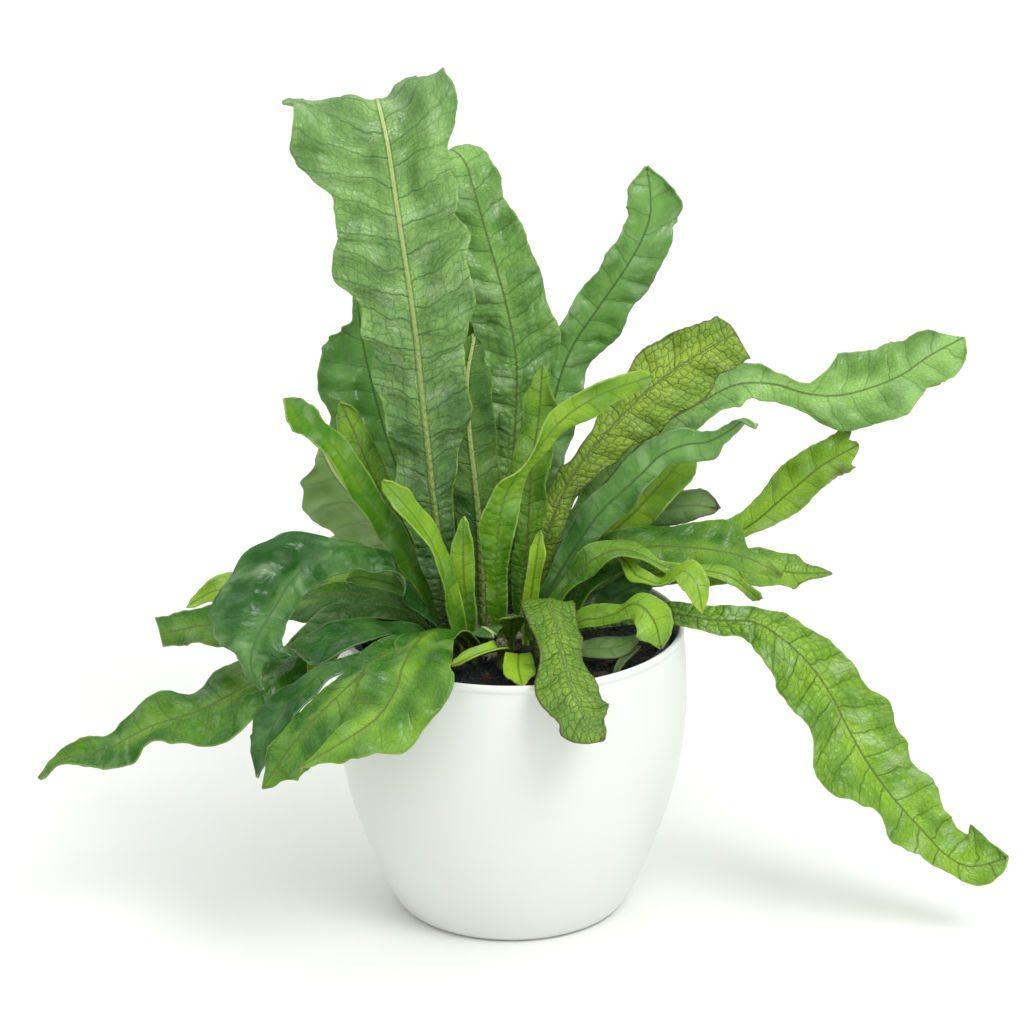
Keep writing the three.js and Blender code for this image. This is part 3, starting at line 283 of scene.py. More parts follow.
FRONDS = (
    Frond("tall_front", "pale", (-31, 8), (84, 4), 5, -0.16, 0.2, 0.6, 1, 1, (
        (-34, 7, 165), (-41, 6, 223), (-47, 2, 285), (-52, 0, 339), (-61, 0, 405), (-66, 2, 439), (-70, 15, 452),
        (-72, 40, 449), (-73, 64, 431)), (
        (0, 2), (0.1, 7), (0.17, 9, 13), (0.25, 10, 20), (0.37, 24, 20), (0.45, 28, 27), (0.52, 31, 27), (0.57, 37),
        (0.6, 39, 38), (0.65, 31, 33), (0.69, 29, 32), (0.71, 29, 41), (0.735, 33, 46), (0.76, 40, 50),
        (0.785, 42, 52), (0.805, 40, 51), (0.83, 38, 48), (0.86, 33, 44), (0.92, 27, 37), (1, 14, 18)),
        turns=((0.62, 0), (0.84, 14))),
    Frond("tall_back", "pale", (-8, 44), (-80, 8), 4, -0.1, 0.3, 0.6, 0.6, 1, (
        (-7, 50, 165), (0, 64, 226), (3, 68, 291), (-1, 71, 318), (-8, 72, 346), (-13, 74, 363), (-21, 80, 391),
        (-26, 90, 403), (-34, 102, 406), (-40, 112, 396)), (
        (0, 2), (0.12, 8), (0.35, 16), (0.5, 22, 24), (0.62, 24), (0.75, 23, 18), (0.82, 21, 17), (0.88, 20, 14),
        (1, 9, 8))),
    Frond("upper_right", "deep", (10, 60), (-70, 20), 3, 0.1, 0.6, 1, 0.5, 0.9, (
        (12, 64, 168), (18, 76, 226), (26, 83, 274), (34, 86, 296), (49, 86, 320), (63, 87, 341), (72, 88, 357),
        (77, 90, 371), (77, 93, 386), (75, 96, 398)), (
        (0, 2), (0.15, 7), (0.4, 14), (0.57, 14, 16), (0.67, 14, 18), (0.76, 16, 17), (0.83, 14, 15), (0.88, 13, 15),
        (0.91, 13, 20), (0.94, 13, 20), (0.96, 13, 14), (0.98, 12, 9), (1, 9, 5))),
    Frond("net_right", "net", (12, 28), (-75, 35), 2.5, -0.05, 0, 0.6, 0.8, 0.3, (
        (14, 30, 166), (18, 32, 196), (23, 33, 212), (30, 36, 229), (38, 37, 243), (48, 38, 256), (57, 38, 267),
        (68, 38, 279), (80, 37, 291), (94, 36, 302), (107, 35, 311), (123, 34, 321)), (
        (0, 2), (0.15, 6), (0.35, 9, 8), (0.42, 9), (0.48, 5, 11), (0.54, 7, 14), (0.67, 13, 22), (0.75, 17, 21),
        (0.83, 17, 20), (0.9, 17), (1, 13, 16)), bite=((-1, 4, 0.4),)),
    Frond("far_right", "pale", (21, 52), (-80, 45), 3, 0.05, 0.25, 0.8, 0.3, 0.7, (
        (23, 58, 168), (47, 74, 210), (82, 84, 248), (107, 85, 264), (128, 90, 273), (149, 90, 273), (167, 89, 268),
        (183, 88, 267), (200, 87, 271), (220, 86, 280), (235, 86, 291), (254, 86, 302)), (
        (0, 2), (0.12, 7), (0.4, 15, 14), (0.55, 15, 14), (0.6, 12, 9), (0.64, 7, 8), (0.672, 5, 9), (0.695, 6, 12),
        (0.71, 15, 18), (0.73, 23, 22), (0.79, 23, 22), (0.83, 22), (0.863, 20, 19), (0.89, 19, 16), (0.918, 18, 19),
        (0.95, 14, 20), (0.975, 10, 19), (1, 5, 15)), turns=((0.6, 0), (0.68, 35), (0.74, 10), (0.8, 0))),
    Frond("bright_right", "mid", (34, 50), (-80, 50), 2.5, 0.1, 0, 0.76, 0.25, 0.6, (
        (38, 54, 164), (66, 68, 178), (102, 78, 182), (130, 80, 188), (158, 82, 211), (176, 82, 227),
        (197, 82, 240)), (
        (0, 2), (0.2, 6), (0.5, 7), (0.6, 11, 8), (0.67, 13, 9), (0.76, 15, 12), (0.87, 14, 12), (1, 12, 11)),
        bite=((-0.4, 4, 0.15), (0.8, 9, 0.45)), dry=0.6),
    Frond("curly_right", "deep", (14, 17), (-90, 40), 3, 0.12, 0.6, 0.66, 0.1, 0.7, (
        (16, 18, 164), (30, 18, 192), (50, 18, 223), (61, 18, 234), (72, 18, 245), (83, 18, 256), (96, 17, 262),
        (108, 16, 264), (120, 13, 272), (127, 9, 279), (134, 5, 277)), (
        (0, 2), (0.18, 5), (0.45, 10), (0.6, 11, 10), (0.67, 10, 7), (0.74, 10), (0.81, 7, 9), (0.87, 3.5, 4),
        (0.94, 3, 3.5), (1, 2)), turns=((0.78, 0), (0.92, 30), (1, 60))),
    Frond("broad_dull", "mid", (30, 9), (-85, 50), 3, 0.05, 0, 0.22, 0.1, 0.1, (
        (32, 12, 164), (47, 18, 190), (71, 18, 201), (104, 15, 202), (129, 12, 198), (150, 8, 189)), (
        (0, 2), (0.2, 7), (0.45, 14, 13), (0.65, 16, 15), (0.77, 18, 13), (0.86, 8, 9), (1, 1))),
    Frond("old_grey", "dull", (33, 38), (-90, 25), 3, 0.1, 0.3, 0.3, 0.1, 0.2, (
        (36, 42, 166), (50, 50, 184), (72, 53, 205), (92, 55, 212), (106, 57, 212), (117, 60, 209)), (
        (0, 2), (0.25, 7), (0.55, 10), (0.8, 9), (1, 9, 5)), bite=((0.1, 6, 0.35),), dry=0.8),
    Frond("dark_point_right", "mid", (30, 28), (-85, 55), 2.5, 0.1, 0.8, 0.6, 0.5, 0.2, (
        (34, 30, 162), (58, 34, 172), (100, 38, 182), (131, 42, 180), (148, 44, 178), (162, 45, 176),
        (180, 45, 176)), (
        (0, 2), (0.25, 8), (0.55, 12), (0.72, 13, 12), (0.86, 11), (1, 6)), dry=0.5),
    Frond("long_right", "mid", (24, -1), (-75, 48), 3, -0.12, 0.05, 0.7, 0.9, 1, (
        (28, -4, 161), (50, -12, 171), (85, -22, 178), (110, -29, 177), (133, -36, 178), (149, -41, 169),
        (162, -45, 157), (173, -49, 142), (184, -52, 121), (195, -55, 102), (210, -58, 82), (226, -60, 64),
        (238, -60, 51), (251, -60, 44), (272, -60, 49)), (
        (0, 2), (0.12, 6), (0.31, 8, 6), (0.35, 9), (0.385, 11, 14), (0.41, 16, 18), (0.43, 18, 21), (0.48, 24, 22),
        (0.53, 27, 24), (0.6, 30, 26), (0.66, 33, 28), (0.7, 30, 21), (0.735, 31, 16), (0.785, 28, 15),
        (0.82, 23, 13), (0.855, 23, 9), (0.9, 22, 8), (0.95, 21, 9), (1, 17, 11))),
    Frond("small_curl_right", "lime", (24, 14), (-100, 50), 2, 0.3, 0.5, 0.6, 0.35, 0.4, (
        (25, 14, 166), (34, 10, 187), (45, 10, 200), (55, 10, 202), (63, 6, 198), (68, -4, 194), (73, -12, 194),
        (81, -22, 195), (88, -29, 201), (94, -35, 207), (100, -41, 202), (103, -46, 188)), (
        (0, 2), (0.3, 2), (0.48, 2), (0.54, 4.5, 4), (0.6, 5.5, 5), (0.68, 4.5, 4), (0.76, 6, 5), (0.84, 8),
        (0.92, 7.5, 8), (0.97, 5, 7), (1, 2, 4))),
    Frond("winding_right", "mid", (17, 7), (-90, 45), 3, 0.2, 0.4, 0.5, 0.15, 0.6, (
        (19, 7, 164), (35, 5, 189), (47, 3, 201), (60, 2, 206), (72, 1, 203), (82, 0, 198), (93, -1, 195),
        (107, -2, 195), (119, -4, 193), (129, -5, 186), (137, -6, 180)), (
        (0, 2), (0.25, 5), (0.42, 7.5), (0.52, 8), (0.58, 6), (0.635, 3), (0.69, 2.4), (0.74, 3.5), (0.8, 5.5),
        (0.87, 5), (0.92, 2.8), (1, 2.4)), turns=((0.3, 0), (0.6, -30), (1, 10))),
    Frond("hook_right", "mid", (25, -11), (-85, 55), 2, 0.1, 0.3, 0.72, 0.15, 0.3, (
        (28, -15, 160), (38, -19, 172), (49, -24, 176), (58, -29, 181), (66, -34, 188), (72, -40, 188),
        (78, -46, 181), (81, -50, 169)), (
        (0, 2), (0.15, 3), (0.27, 7, 5), (0.38, 8, 7), (0.5, 8, 7), (0.62, 7, 8), (0.72, 7.5, 8), (0.81, 10),
        (0.88, 9, 12), (0.95, 7, 11), (1, 4, 6))),
    Frond("olive_low", "dull", (22, -24), (-80, 60), 1.5, 0, 0.2, 0.3, 0.35, 0.4, (
        (24, -27, 157), (36, -33, 161), (58, -39, 165), (70, -40, 172)), (
        (0, 2), (0.35, 5), (0.7, 7.5), (1, 4))),
    Frond("pale_stub", "dull", (57, -47), (-60, 40), 0.5, 0.1, 0.6, 0.6, 0.35, 0.4, (
        (60, -45, 159), (70, -41, 167)), (
        (0, 2), (0.5, 2.4), (1, 1.6))),
    Frond("net_front", "net", (14, -15), (-80, 55), 3, -0.1, 0.4, 0, 1, 0.1, (
        (16, -19, 173), (19, -33, 191), (24, -58, 185), (28, -90, 175), (34, -110, 165), (41, -122, 156),
        (49, -128, 149)), (
        (0, 2), (0.15, 8), (0.3, 13), (0.45, 14), (0.62, 11, 12), (0.78, 17, 19), (0.92, 15, 17), (1, 10)), dry=0.7),
    Frond("front_left", "mid", (-20, -26), (-110, 62), 3, -0.12, 0.5, 0.38, 0.05, 0.3, (
        (-24, -30, 167), (-38, -48, 179), (-46, -64, 182), (-51, -78, 182), (-57, -97, 177), (-60, -109, 170),
        (-69, -121, 159), (-87, -131, 149), (-111, -137, 136)), (
        (0, 2), (0.12, 8), (0.25, 12, 8), (0.33, 16, 12), (0.4, 19, 14), (0.5, 25, 16), (0.55, 28, 20), (0.6, 28, 20),
        (0.68, 26, 17), (0.79, 16, 9), (0.87, 9, 7), (0.96, 4, 3), (1, 1.5))),
    Frond("front_left_under", "mid", (-29, -19), (-120, 60), 2, -0.1, 0.5, 0.2, 0.35, 0.2, (
        (-33, -24, 162), (-46, -41, 171), (-62, -66, 176), (-86, -92, 164), (-112, -104, 140), (-132, -110, 113)), (
        (0, 2), (0.2, 7), (0.45, 18, 13), (0.7, 22, 14), (0.9, 15, 11), (1, 6, 5))),
    Frond("narrow_left", "deep", (-37, -12), (-120, 60), 1.5, 0.1, 0.6, -0.05, 0.3, 0.3, (
        (-41, -18, 159), (-49, -32, 164), (-57, -41, 167), (-67, -50, 168), (-86, -63, 168), (-101, -70, 163),
        (-111, -76, 155), (-120, -80, 148), (-128, -84, 135), (-133, -85, 123), (-136, -86, 109)), (
        (0, 2), (0.25, 4), (0.47, 5, 2.4), (0.58, 7, 5), (0.665, 9, 7), (0.73, 12, 10), (0.82, 12, 13), (0.9, 9, 11),
        (0.95, 6, 7), (1, 2))),
    Frond("long_left", "mid", (-44, 8), (-100, 60), 3, 0.1, 0.8, 0.06, 0.3, 0.6, (
        (-49, 6, 161), (-66, -2, 170), (-92, -10, 174), (-118, -29, 155), (-146, -52, 146), (-170, -58, 135),
        (-195, -60, 127), (-219, -60, 114), (-243, -61, 108), (-257, -62, 98)), (
        (0, 2), (0.15, 5), (0.3, 7, 8), (0.42, 17, 12), (0.51, 23, 15), (0.56, 25, 17), (0.61, 24, 17),
        (0.665, 19, 18), (0.715, 14, 18), (0.775, 13, 14), (0.825, 11, 12), (0.88, 8, 9), (0.93, 6, 7), (0.97, 3, 4),
        (1, 1.5))),
    Frond("dark_left", "deep", (-43, -8), (-90, 60), 2, 0.15, 0.5, 0.12, 0.1, 0.2, (
        (-47, -12, 161), (-61, -23, 169), (-74, -35, 174), (-87, -44, 174), (-98, -49, 172), (-109, -51, 170),
        (-120, -52, 169)), (
        (0, 2), (0.2, 4), (0.4, 6, 7), (0.6, 11, 9), (0.8, 12, 11), (0.92, 10, 12), (1, 5, 8))),
    Frond("upper_left_low", "shaded_mid", (-44, 27), (-85, 45), 2, 0.1, 0.5, 0.3, 0.1, 0.2, (
        (-48, 29, 163), (-60, 32, 171), (-76, 32, 177), (-86, 31, 179), (-92, 30, 178)), (
        (0, 2), (0.3, 5), (0.6, 6), (0.85, 6), (1, 4))),
    Frond("arching_left", "deep", (-35, -2), (-112, 55), 3, -0.15, 0.7, 0.14, 0.2, 0.7, (
        (-40, -5, 167), (-47, -8, 176), (-58, -14, 193), (-68, -22, 209), (-79, -28, 218), (-90, -33, 221),
        (-100, -38, 220), (-110, -43, 214), (-119, -50, 206), (-126, -58, 196), (-133, -67, 187), (-138, -76, 177),
        (-138, -83, 170), (-132, -88, 160)), (
        (0, 2), (0.14, 6), (0.3, 12, 9), (0.42, 17, 8), (0.5, 17, 9), (0.53, 16, 13), (0.58, 13, 23), (0.63, 11, 31),
        (0.7, 10, 34), (0.77, 11, 33), (0.81, 14, 28), (0.86, 20), (0.91, 20, 9), (0.95, 10, 5), (1, 1.5))),
    Frond("left_behind", "mid", (-51, 16), (-90, 50), 2.5, 0.05, 0, 0.1, 0.2, 0.3, (
        (-55, 16, 162), (-64, 16, 170), (-79, 16, 174), (-93, 16, 175), (-112, 17, 171), (-129, 19, 167),
        (-147, 21, 161), (-165, 22, 155), (-182, 21, 152), (-196, 19, 149)), (
        (0, 2), (0.15, 5), (0.3, 10, 6), (0.38, 13, 6.5), (0.5, 15, 7), (0.65, 16, 10), (0.78, 17, 12), (0.89, 12),
        (1, 6, 11))),
    Frond("bright_left", "lime", (-43, 38), (-90, 40), 2.5, 0.1, 0.6, 0.6, 0.35, 0.4, (
        (-47, 40, 163), (-64, 44, 174), (-88, 46, 178), (-122, 44, 175), (-154, 43, 169), (-169, 41, 166),
        (-182, 40, 158)), (
        (0, 2), (0.2, 6), (0.5, 10), (0.8, 9), (1, 3))),
    Frond("small_tip_left", "lime", (-51, -2), (-100, 50), 1, 0.2, 0.6, 0.6, 0.35, 0.4, (
        (-57, -7, 161), (-72, -18, 167), (-88, -30, 168), (-100, -40, 163), (-105, -48, 156), (-102, -54, 149)), (
        (0, 2), (0.4, 3.5), (0.6, 3.5), (0.8, 7), (0.92, 6), (1, 3))),
    Frond("young_left", "lime", (-40, 16), (-60, 20), 2, 0.25, 0.6, -0.05, 0.2, 0.6, (
        (-43, 15, 166), (-52, 11, 188), (-63, 9, 207), (-70, 7, 220), (-79, 3, 236), (-88, -1, 254), (-97, -5, 269),
        (-106, -8, 280), (-115, -10, 290), (-122, -12, 298)), (
        (0, 2), (0.2, 6), (0.5, 8), (0.75, 8, 7.5), (0.85, 8, 6.5), (0.93, 10, 8), (0.98, 8, 7), (1, 5))),
    Frond("young_round", "mid", (-33, 24), (-70, 20), 2, 0.15, 0.5, 0.4, 0.35, 0.4, (
        (-36, 24, 164), (-52, 24, 190), (-66, 22, 218), (-78, 18, 248), (-87, 14, 273), (-93, 12, 288)), (
        (0, 2), (0.2, 6), (0.5, 9, 8), (0.8, 9, 8), (0.93, 8, 7.5), (1, 5.5))),
    Frond("lime_twisted_left", "lime", (-26, -12), (-60, 15), 1.5, 0.35, 0.4, 0.4, 0.35, 0.4, (
        (-29, -14, 166), (-35, -17, 192), (-43, -19, 217), (-55, -21, 237), (-69, -23, 255)), (
        (0, 2), (0.25, 5), (0.6, 8), (0.85, 7), (1, 4)), turns=((0.3, 0), (0.6, 40), (1, -10))),
    Frond("back_left_dark", "deep", (-28, 57), (-80, 10), 4, 0.05, 0.4, 0.78, 0.4, 0.2, (
        (-32, 64, 166), (-50, 86, 192), (-67, 100, 225), (-77, 107, 258), (-84, 111, 290), (-88, 115, 322)), (
        (0, 2), (0.2, 12, 10), (0.4, 30, 20), (0.53, 34, 26), (0.64, 30, 27), (0.74, 28, 25), (0.8, 25, 24),
        (0.835, 20, 22), (0.87, 11, 20), (0.92, 4, 14), (1, 2, 6))),
    Frond("back_left_pale", "dull", (-41, 50), (95, 5), 4, 0.1, 0.2, 1.3, 0.6, 0.6, (
        (-46, 55, 164), (-64, 70, 184), (-83, 80, 203), (-100, 86, 222), (-109, 92, 240)), (
        (0, 2), (0.25, 8, 9), (0.45, 15, 25), (0.6, 17, 31), (0.7, 18, 29), (0.81, 18, 19), (0.91, 14, 7),
        (1, 8, 3))),
    Frond("centre_upright", "mid", (-16, 22), (95, 5), 3, 0.1, 0.5, 0.15, 0.8, 0.3, (
        (-16, 24, 166), (-18, 27, 216), (-23, 28, 268), (-24, 29, 297), (-20, 32, 320)), (
        (0, 2), (0.2, 8), (0.5, 14), (0.8, 15), (1, 7))),
    Frond("small_tongue", "lime", (-22, -3), (-90, 5), 1.5, 0.15, 0.6, 0.3, 0.35, 0.4, (
        (-23, -5, 164), (-26, -7, 196), (-26, -8, 229)), (
        (0, 2), (0.4, 5), (0.75, 6.5), (1, 3))),
    Frond("centre_tongue", "mid", (4, 22), (-90, 8), 2.5, 0.1, 0.6, 0.45, 0.4, 0.5, (
        (5, 22, 164), (9, 20, 205), (11, 18, 247), (15, 16, 277), (17, 14, 308)), (
        (0, 2), (0.3, 7), (0.6, 10.5), (0.85, 9.5), (1, 4))),
    Frond("lime_twisted_right", "lime", (-6, 2), (-90, 15), 2, 0.2, 0.4, 0.45, 0.6, 0.4, (
        (-7, 0, 166), (-8, -5, 203), (-3, -9, 242), (13, -12, 268), (29, -13, 288), (50, -14, 302), (76, -15, 312)), (
        (0, 2), (0.2, 6), (0.4, 10), (0.6, 6), (0.8, 9), (1, 5)), turns=((0.35, 0), (0.6, 60), (0.75, 20), (1, 0))),
    Frond("lime_finger", "lime", (8, 0), (-90, 10), 1, 0.2, 0.7, 0.6, 0.35, 0.4, (
        (9, -2, 166), (12, -5, 190), (16, -8, 221)), (
        (0, 2), (0.4, 4.5), (0.8, 4.5), (1, 2))),
    Frond("behind_net", "mid", (21, 66), (-80, 25), 3, 0.1, 0.4, 0.3, 0.35, 0.4, (
        (24, 71, 166), (40, 88, 190), (58, 103, 231), (77, 107, 266), (98, 107, 300)), (
        (0, 2), (0.25, 7), (0.6, 13), (0.85, 13), (1, 6))),
    Frond("jagged_right", "lime", (22, 39), (-80, 30), 3, 0.1, 0.4, 0.5, 0.35, 0.4, (
        (25, 40, 166), (45, 42, 190), (69, 42, 214), (88, 42, 236), (104, 42, 256)), (
        (0, 2), (0.3, 7), (0.65, 12), (0.9, 10), (1, 5))),
    Frond("dark_low_right", "deep", (36, 18), (-90, 40), 1.5, 0.1, 0.5, 0.3, 0.35, 0.4, (
        (39, 20, 161), (54, 25, 169), (82, 28, 180)), (
        (0, 2), (0.4, 7), (0.8, 10), (1, 4))),
    Frond("rolled_lime_front", "lime", (-6, -28), (-90, 60), 1, 0.5, 0.3, 0.8, 0.35, 0.4, (
        (-6, -33, 160), (-8, -42, 165), (-18, -50, 165), (-32, -57, 161)), (
        (0, 2), (0.4, 5), (0.75, 5), (1, 3))),
    Frond("lime_lobe_front", "lime", (5, -31), (-90, 60), 1, 0.1, 0.6, 0.8, 0.35, 0.4, (
        (5, -38, 160), (4, -52, 165), (4, -72, 165), (6, -90, 163)), (
        (0, 2), (0.4, 6), (0.75, 9), (1, 4))),
    Frond("dark_front", "deep", (-14, -11), (-90, 40), 2, 0.1, 0.4, 0.1, 0.35, 0.4, (
        (-16, -14, 163), (-15, -24, 170), (-9, -36, 171)), (
        (0, 2), (0.4, 6), (0.75, 9), (1, 5))),
    Frond("mid_lobe_front", "mid", (0, -9), (-80, 45), 1.5, 0.1, 0.4, 0.5, 0.35, 0.4, (
        (0, -11, 163), (1, -17, 173), (4, -24, 177)), (
        (0, 2), (0.4, 5), (0.75, 7), (1, 4))),
    Frond("back_arch", "mid", (-2, 62), (90, 72), 3, 0.1, 0.6, 0.4, 0.35, 0.4, (
        (-2, 68, 166), (0, 96, 204), (2, 128, 220), (4, 158, 206), (6, 180, 176)), (
        (0, 2), (0.2, 7), (0.55, 17), (0.85, 14), (1, 4))),
    Frond("back_right_low", "mid", (9, 72), (60, 70), 3, 0.1, 0.6, 0.4, 0.35, 0.4, (
        (13, 77, 163), (36, 102, 176), (66, 130, 178), (92, 154, 164)), (
        (0, 2), (0.3, 8), (0.65, 14), (0.9, 10), (1, 4))),
    Frond("back_left_low", "mid", (-31, 68), (120, 70), 3, 0.1, 0.6, 0.4, 0.35, 0.4, (
        (-35, 73, 163), (-56, 100, 176), (-84, 126, 174), (-106, 144, 156)), (
        (0, 2), (0.3, 8), (0.65, 14), (0.9, 10), (1, 4))),
    Frond("back_tall", "deep", (-22, 48), (-95, 8), 3, 0.1, 0.5, 0.3, 0.35, 0.4, (
        (-24, 54, 166), (-28, 76, 230), (-30, 92, 290), (-26, 104, 328)), (
        (0, 2), (0.25, 10), (0.6, 18), (0.85, 15), (1, 6))),
    Frond("back_bend", "lime", (-14, 72), (105, 70), 3, 0.1, 0.6, 0.4, 0.35, 0.4, (
        (-16, 78, 165), (-28, 106, 194), (-42, 136, 204), (-52, 162, 188)), (
        (0, 2), (0.25, 7), (0.6, 12), (0.85, 11), (1, 4))),
)


def linear(code):
    """An sRGB hex colour as linear red, green, blue."""
    parts = [int(code[k:k + 2], 16) / 255 for k in (0, 2, 4)]
    return tuple(c / 12.92 if c <= 0.04045 else ((c + 0.055) / 1.055) ** 2.4 for c in parts)


def rgba(code):
    return (*linear(code), 1.0)


class PotSettings(bpy.types.PropertyGroup):
    glaze: FloatVectorProperty(
        name="Cover pot", description="Colour of the cover pot", subtype="COLOR", default=linear("E4E6E2"))
    liner: FloatVectorProperty(
        name="Grow pot", description="Colour of the nursery pot inside", subtype="COLOR", default=linear("17191B"))
    sheen: FloatProperty(
        name="Cover pot roughness", description="Roughness of the cover pot", default=0.3, min=0, max=1)


class FrondSettings(bpy.types.PropertyGroup):
    grid: FloatProperty(
        name="Grid", description="Spacing of the mesh on a blade", default=1.7 * MM, min=MM, unit="LENGTH")
    thickness: FloatProperty(
        name="Thickness", description="Thickness of a blade", default=0.9 * MM, min=0.3 * MM, unit="LENGTH")
    vein_spacing: FloatProperty(
        name="Side veins", description="Distance between side veins", default=15 * MM, min=MM, unit="LENGTH")
    groove: FloatProperty(
        name="Groove", description="Width of the valleys in the quilt", default=3.4 * MM, min=MM, unit="LENGTH")
    quilt: FloatProperty(
        name="Quilt", description="Height of the strips between side veins", default=2.4 * MM, min=0, unit="LENGTH")
    swell: FloatProperty(
        name="Swell", description="Height of the blade's broad swells", default=9 * MM, min=0, unit="LENGTH")


class SoilSettings(bpy.types.PropertyGroup):
    colour: FloatVectorProperty(
        name="Soil", description="Colour of the damp soil", subtype="COLOR", default=linear("262F2D"))
    crumbs: IntProperty(
        name="Crumbs", description="Crumbs in each square decimetre", default=900, min=0)
    crumb: FloatProperty(
        name="Crumb size", description="Radius of a middling crumb", default=1.3 * MM, min=0, unit="LENGTH")
    chips: IntProperty(
        name="Bark", description="Bark chips in each square decimetre", default=70, min=0)


class RootstockSettings(bpy.types.PropertyGroup):
    colour: FloatVectorProperty(
        name="Rootstock", description="Colour of the rootstock", subtype="COLOR", default=linear("A3AD8A"))
    scales: IntProperty(
        name="Scales", description="Scales in each square decimetre", default=4200, min=0)
    scale: FloatProperty(
        name="Scale length", description="Length of a scale", default=3.4 * MM, min=0, unit="LENGTH")


class StageSettings(bpy.types.PropertyGroup):
    floor: FloatVectorProperty(
        name="Floor", description="Colour of the floor", subtype="COLOR", default=linear("F0F2EE"))
    overhead: FloatProperty(
        name="Overhead light", description="Brightness of the diffuser overhead", default=1.35, min=0)
    front: FloatProperty(
        name="Light from the front", description="Brightness of the wall behind the camera", default=0.36, min=0)
    sides: FloatProperty(
        name="Light from the sides", description="Brightness of the walls at the sides", default=0.5, min=0)
    key: FloatProperty(
        name="Key light", description="Power of the large soft light", default=22, unit="POWER")


def smooth(value):
    """Eases 0 to 1, and holds outside."""
    v = np.clip(value, 0, 1)
    return v * v * (3 - 2 * v)


def draw(seed, place):
    """A repeatable draw between 0 and 1 for a seed and a place in the list."""
    value = math.sin(seed * DRAW_STEPS[0] + place * DRAW_STEPS[1]) * DRAW_STEPS[2]
    return value - math.floor(value)


def eased(rows, place, column=1):
    """Reads [place, value] rows with eased steps between them; column 2 is the other side's value, if given."""
    places = np.array([row[0] for row in rows], float)
    values = np.array([row[column] if column < len(row) else row[1] for row in rows], float)
    k = np.clip(np.searchsorted(places, place), 1, len(rows) - 1)
    part = smooth((place - places[k - 1]) / (places[k] - places[k - 1]))
    return values[k - 1] + (values[k] - values[k - 1]) * part


def curve_at(points, t):
    """Places on a centripetal Catmull-Rom curve through the points, at parameters t from 0 to 1."""
    p = np.array(points, float)
    p = np.vstack([2 * p[0] - p[1], p, 2 * p[-1] - p[-2]])
    at = np.asarray(t) * (len(points) - 1)
    k = np.minimum(at.astype(int), len(points) - 2)
    w = (at - k)[:, None]
    a, b, c, d = p[k], p[k + 1], p[k + 2], p[k + 3]
    ab, bc, cd = (np.linalg.norm(v - u, axis=1)[:, None] ** 0.5 for u, v in ((a, b), (b, c), (c, d)))
    start = ((b - a) / ab - (c - a) / (ab + bc) + (c - b) / bc) * bc
    end = ((c - b) / bc - (d - b) / (bc + cd) + (d - c) / cd) * bc
    return (b + start * w + (3 * (c - b) - 2 * start - end) * w ** 2
            + (2 * (b - c) + start + end) * w ** 3)


def even_places(points, count):
    """count + 1 evenly spaced places along the curve, and its length."""
    fine = np.linspace(0, 1, 201)
    steps = np.linalg.norm(np.diff(curve_at(points, fine), axis=0), axis=1)
    run = np.concatenate([[0], np.cumsum(steps)])
    return curve_at(points, np.interp(np.linspace(0, run[-1], count + 1), run, fine)), run[-1]


def unit(vectors):
    return vectors / np.linalg.norm(vectors, axis=-1, keepdims=True)


def square(vector, tangent):
    """The part of vector that stands square to tangent."""
    return unit(vector - (vector * tangent).sum(-1, keepdims=True) * tangent)


def direction(azimuth, elevation):
    a, e = math.radians(azimuth), math.radians(elevation)
    return np.array([math.cos(e) * math.cos(a), math.cos(e) * math.sin(a), math.sin(e)])


def midrib(frond):
    """The midrib's places, tangents, the way the upper side looks at each, and its length."""
    x, y = frond.root
    places, length = even_places([(x, y, ROOT_Z), (x, y, ROOT_Z + ROOT_RISE), *frond.points], SAMPLES)
    tangents = unit(np.gradient(places, axis=0))
    normals = np.empty_like(places)
    middle = SAMPLES // 2
    normals[middle] = square(direction(*frond.face), tangents[middle])
    for k in range(middle + 1, SAMPLES + 1):
        normals[k] = square(normals[k - 1], tangents[k])
    for k in range(middle - 1, -1, -1):
        normals[k] = square(normals[k + 1], tangents[k])
    return places, tangents, normals, length


def ripple(run, long, short, share, seed, first):
    """Two sine waves of their own phase, for one margin of one frond."""
    return (np.sin(run / long + 2 * math.pi * draw(seed, first))
            + share * np.sin(run / short + 2 * math.pi * draw(seed, first + 2)))


def bitten(frond, side, place):
    """How far the cut tip is pulled back, in mm, at each side."""
    pull = sum(depth * np.exp(-((side - at) / width) ** 2) for at, depth, width in frond.bite)
    return pull * smooth((place - TIP_FROM) / (1 - TIP_FROM))


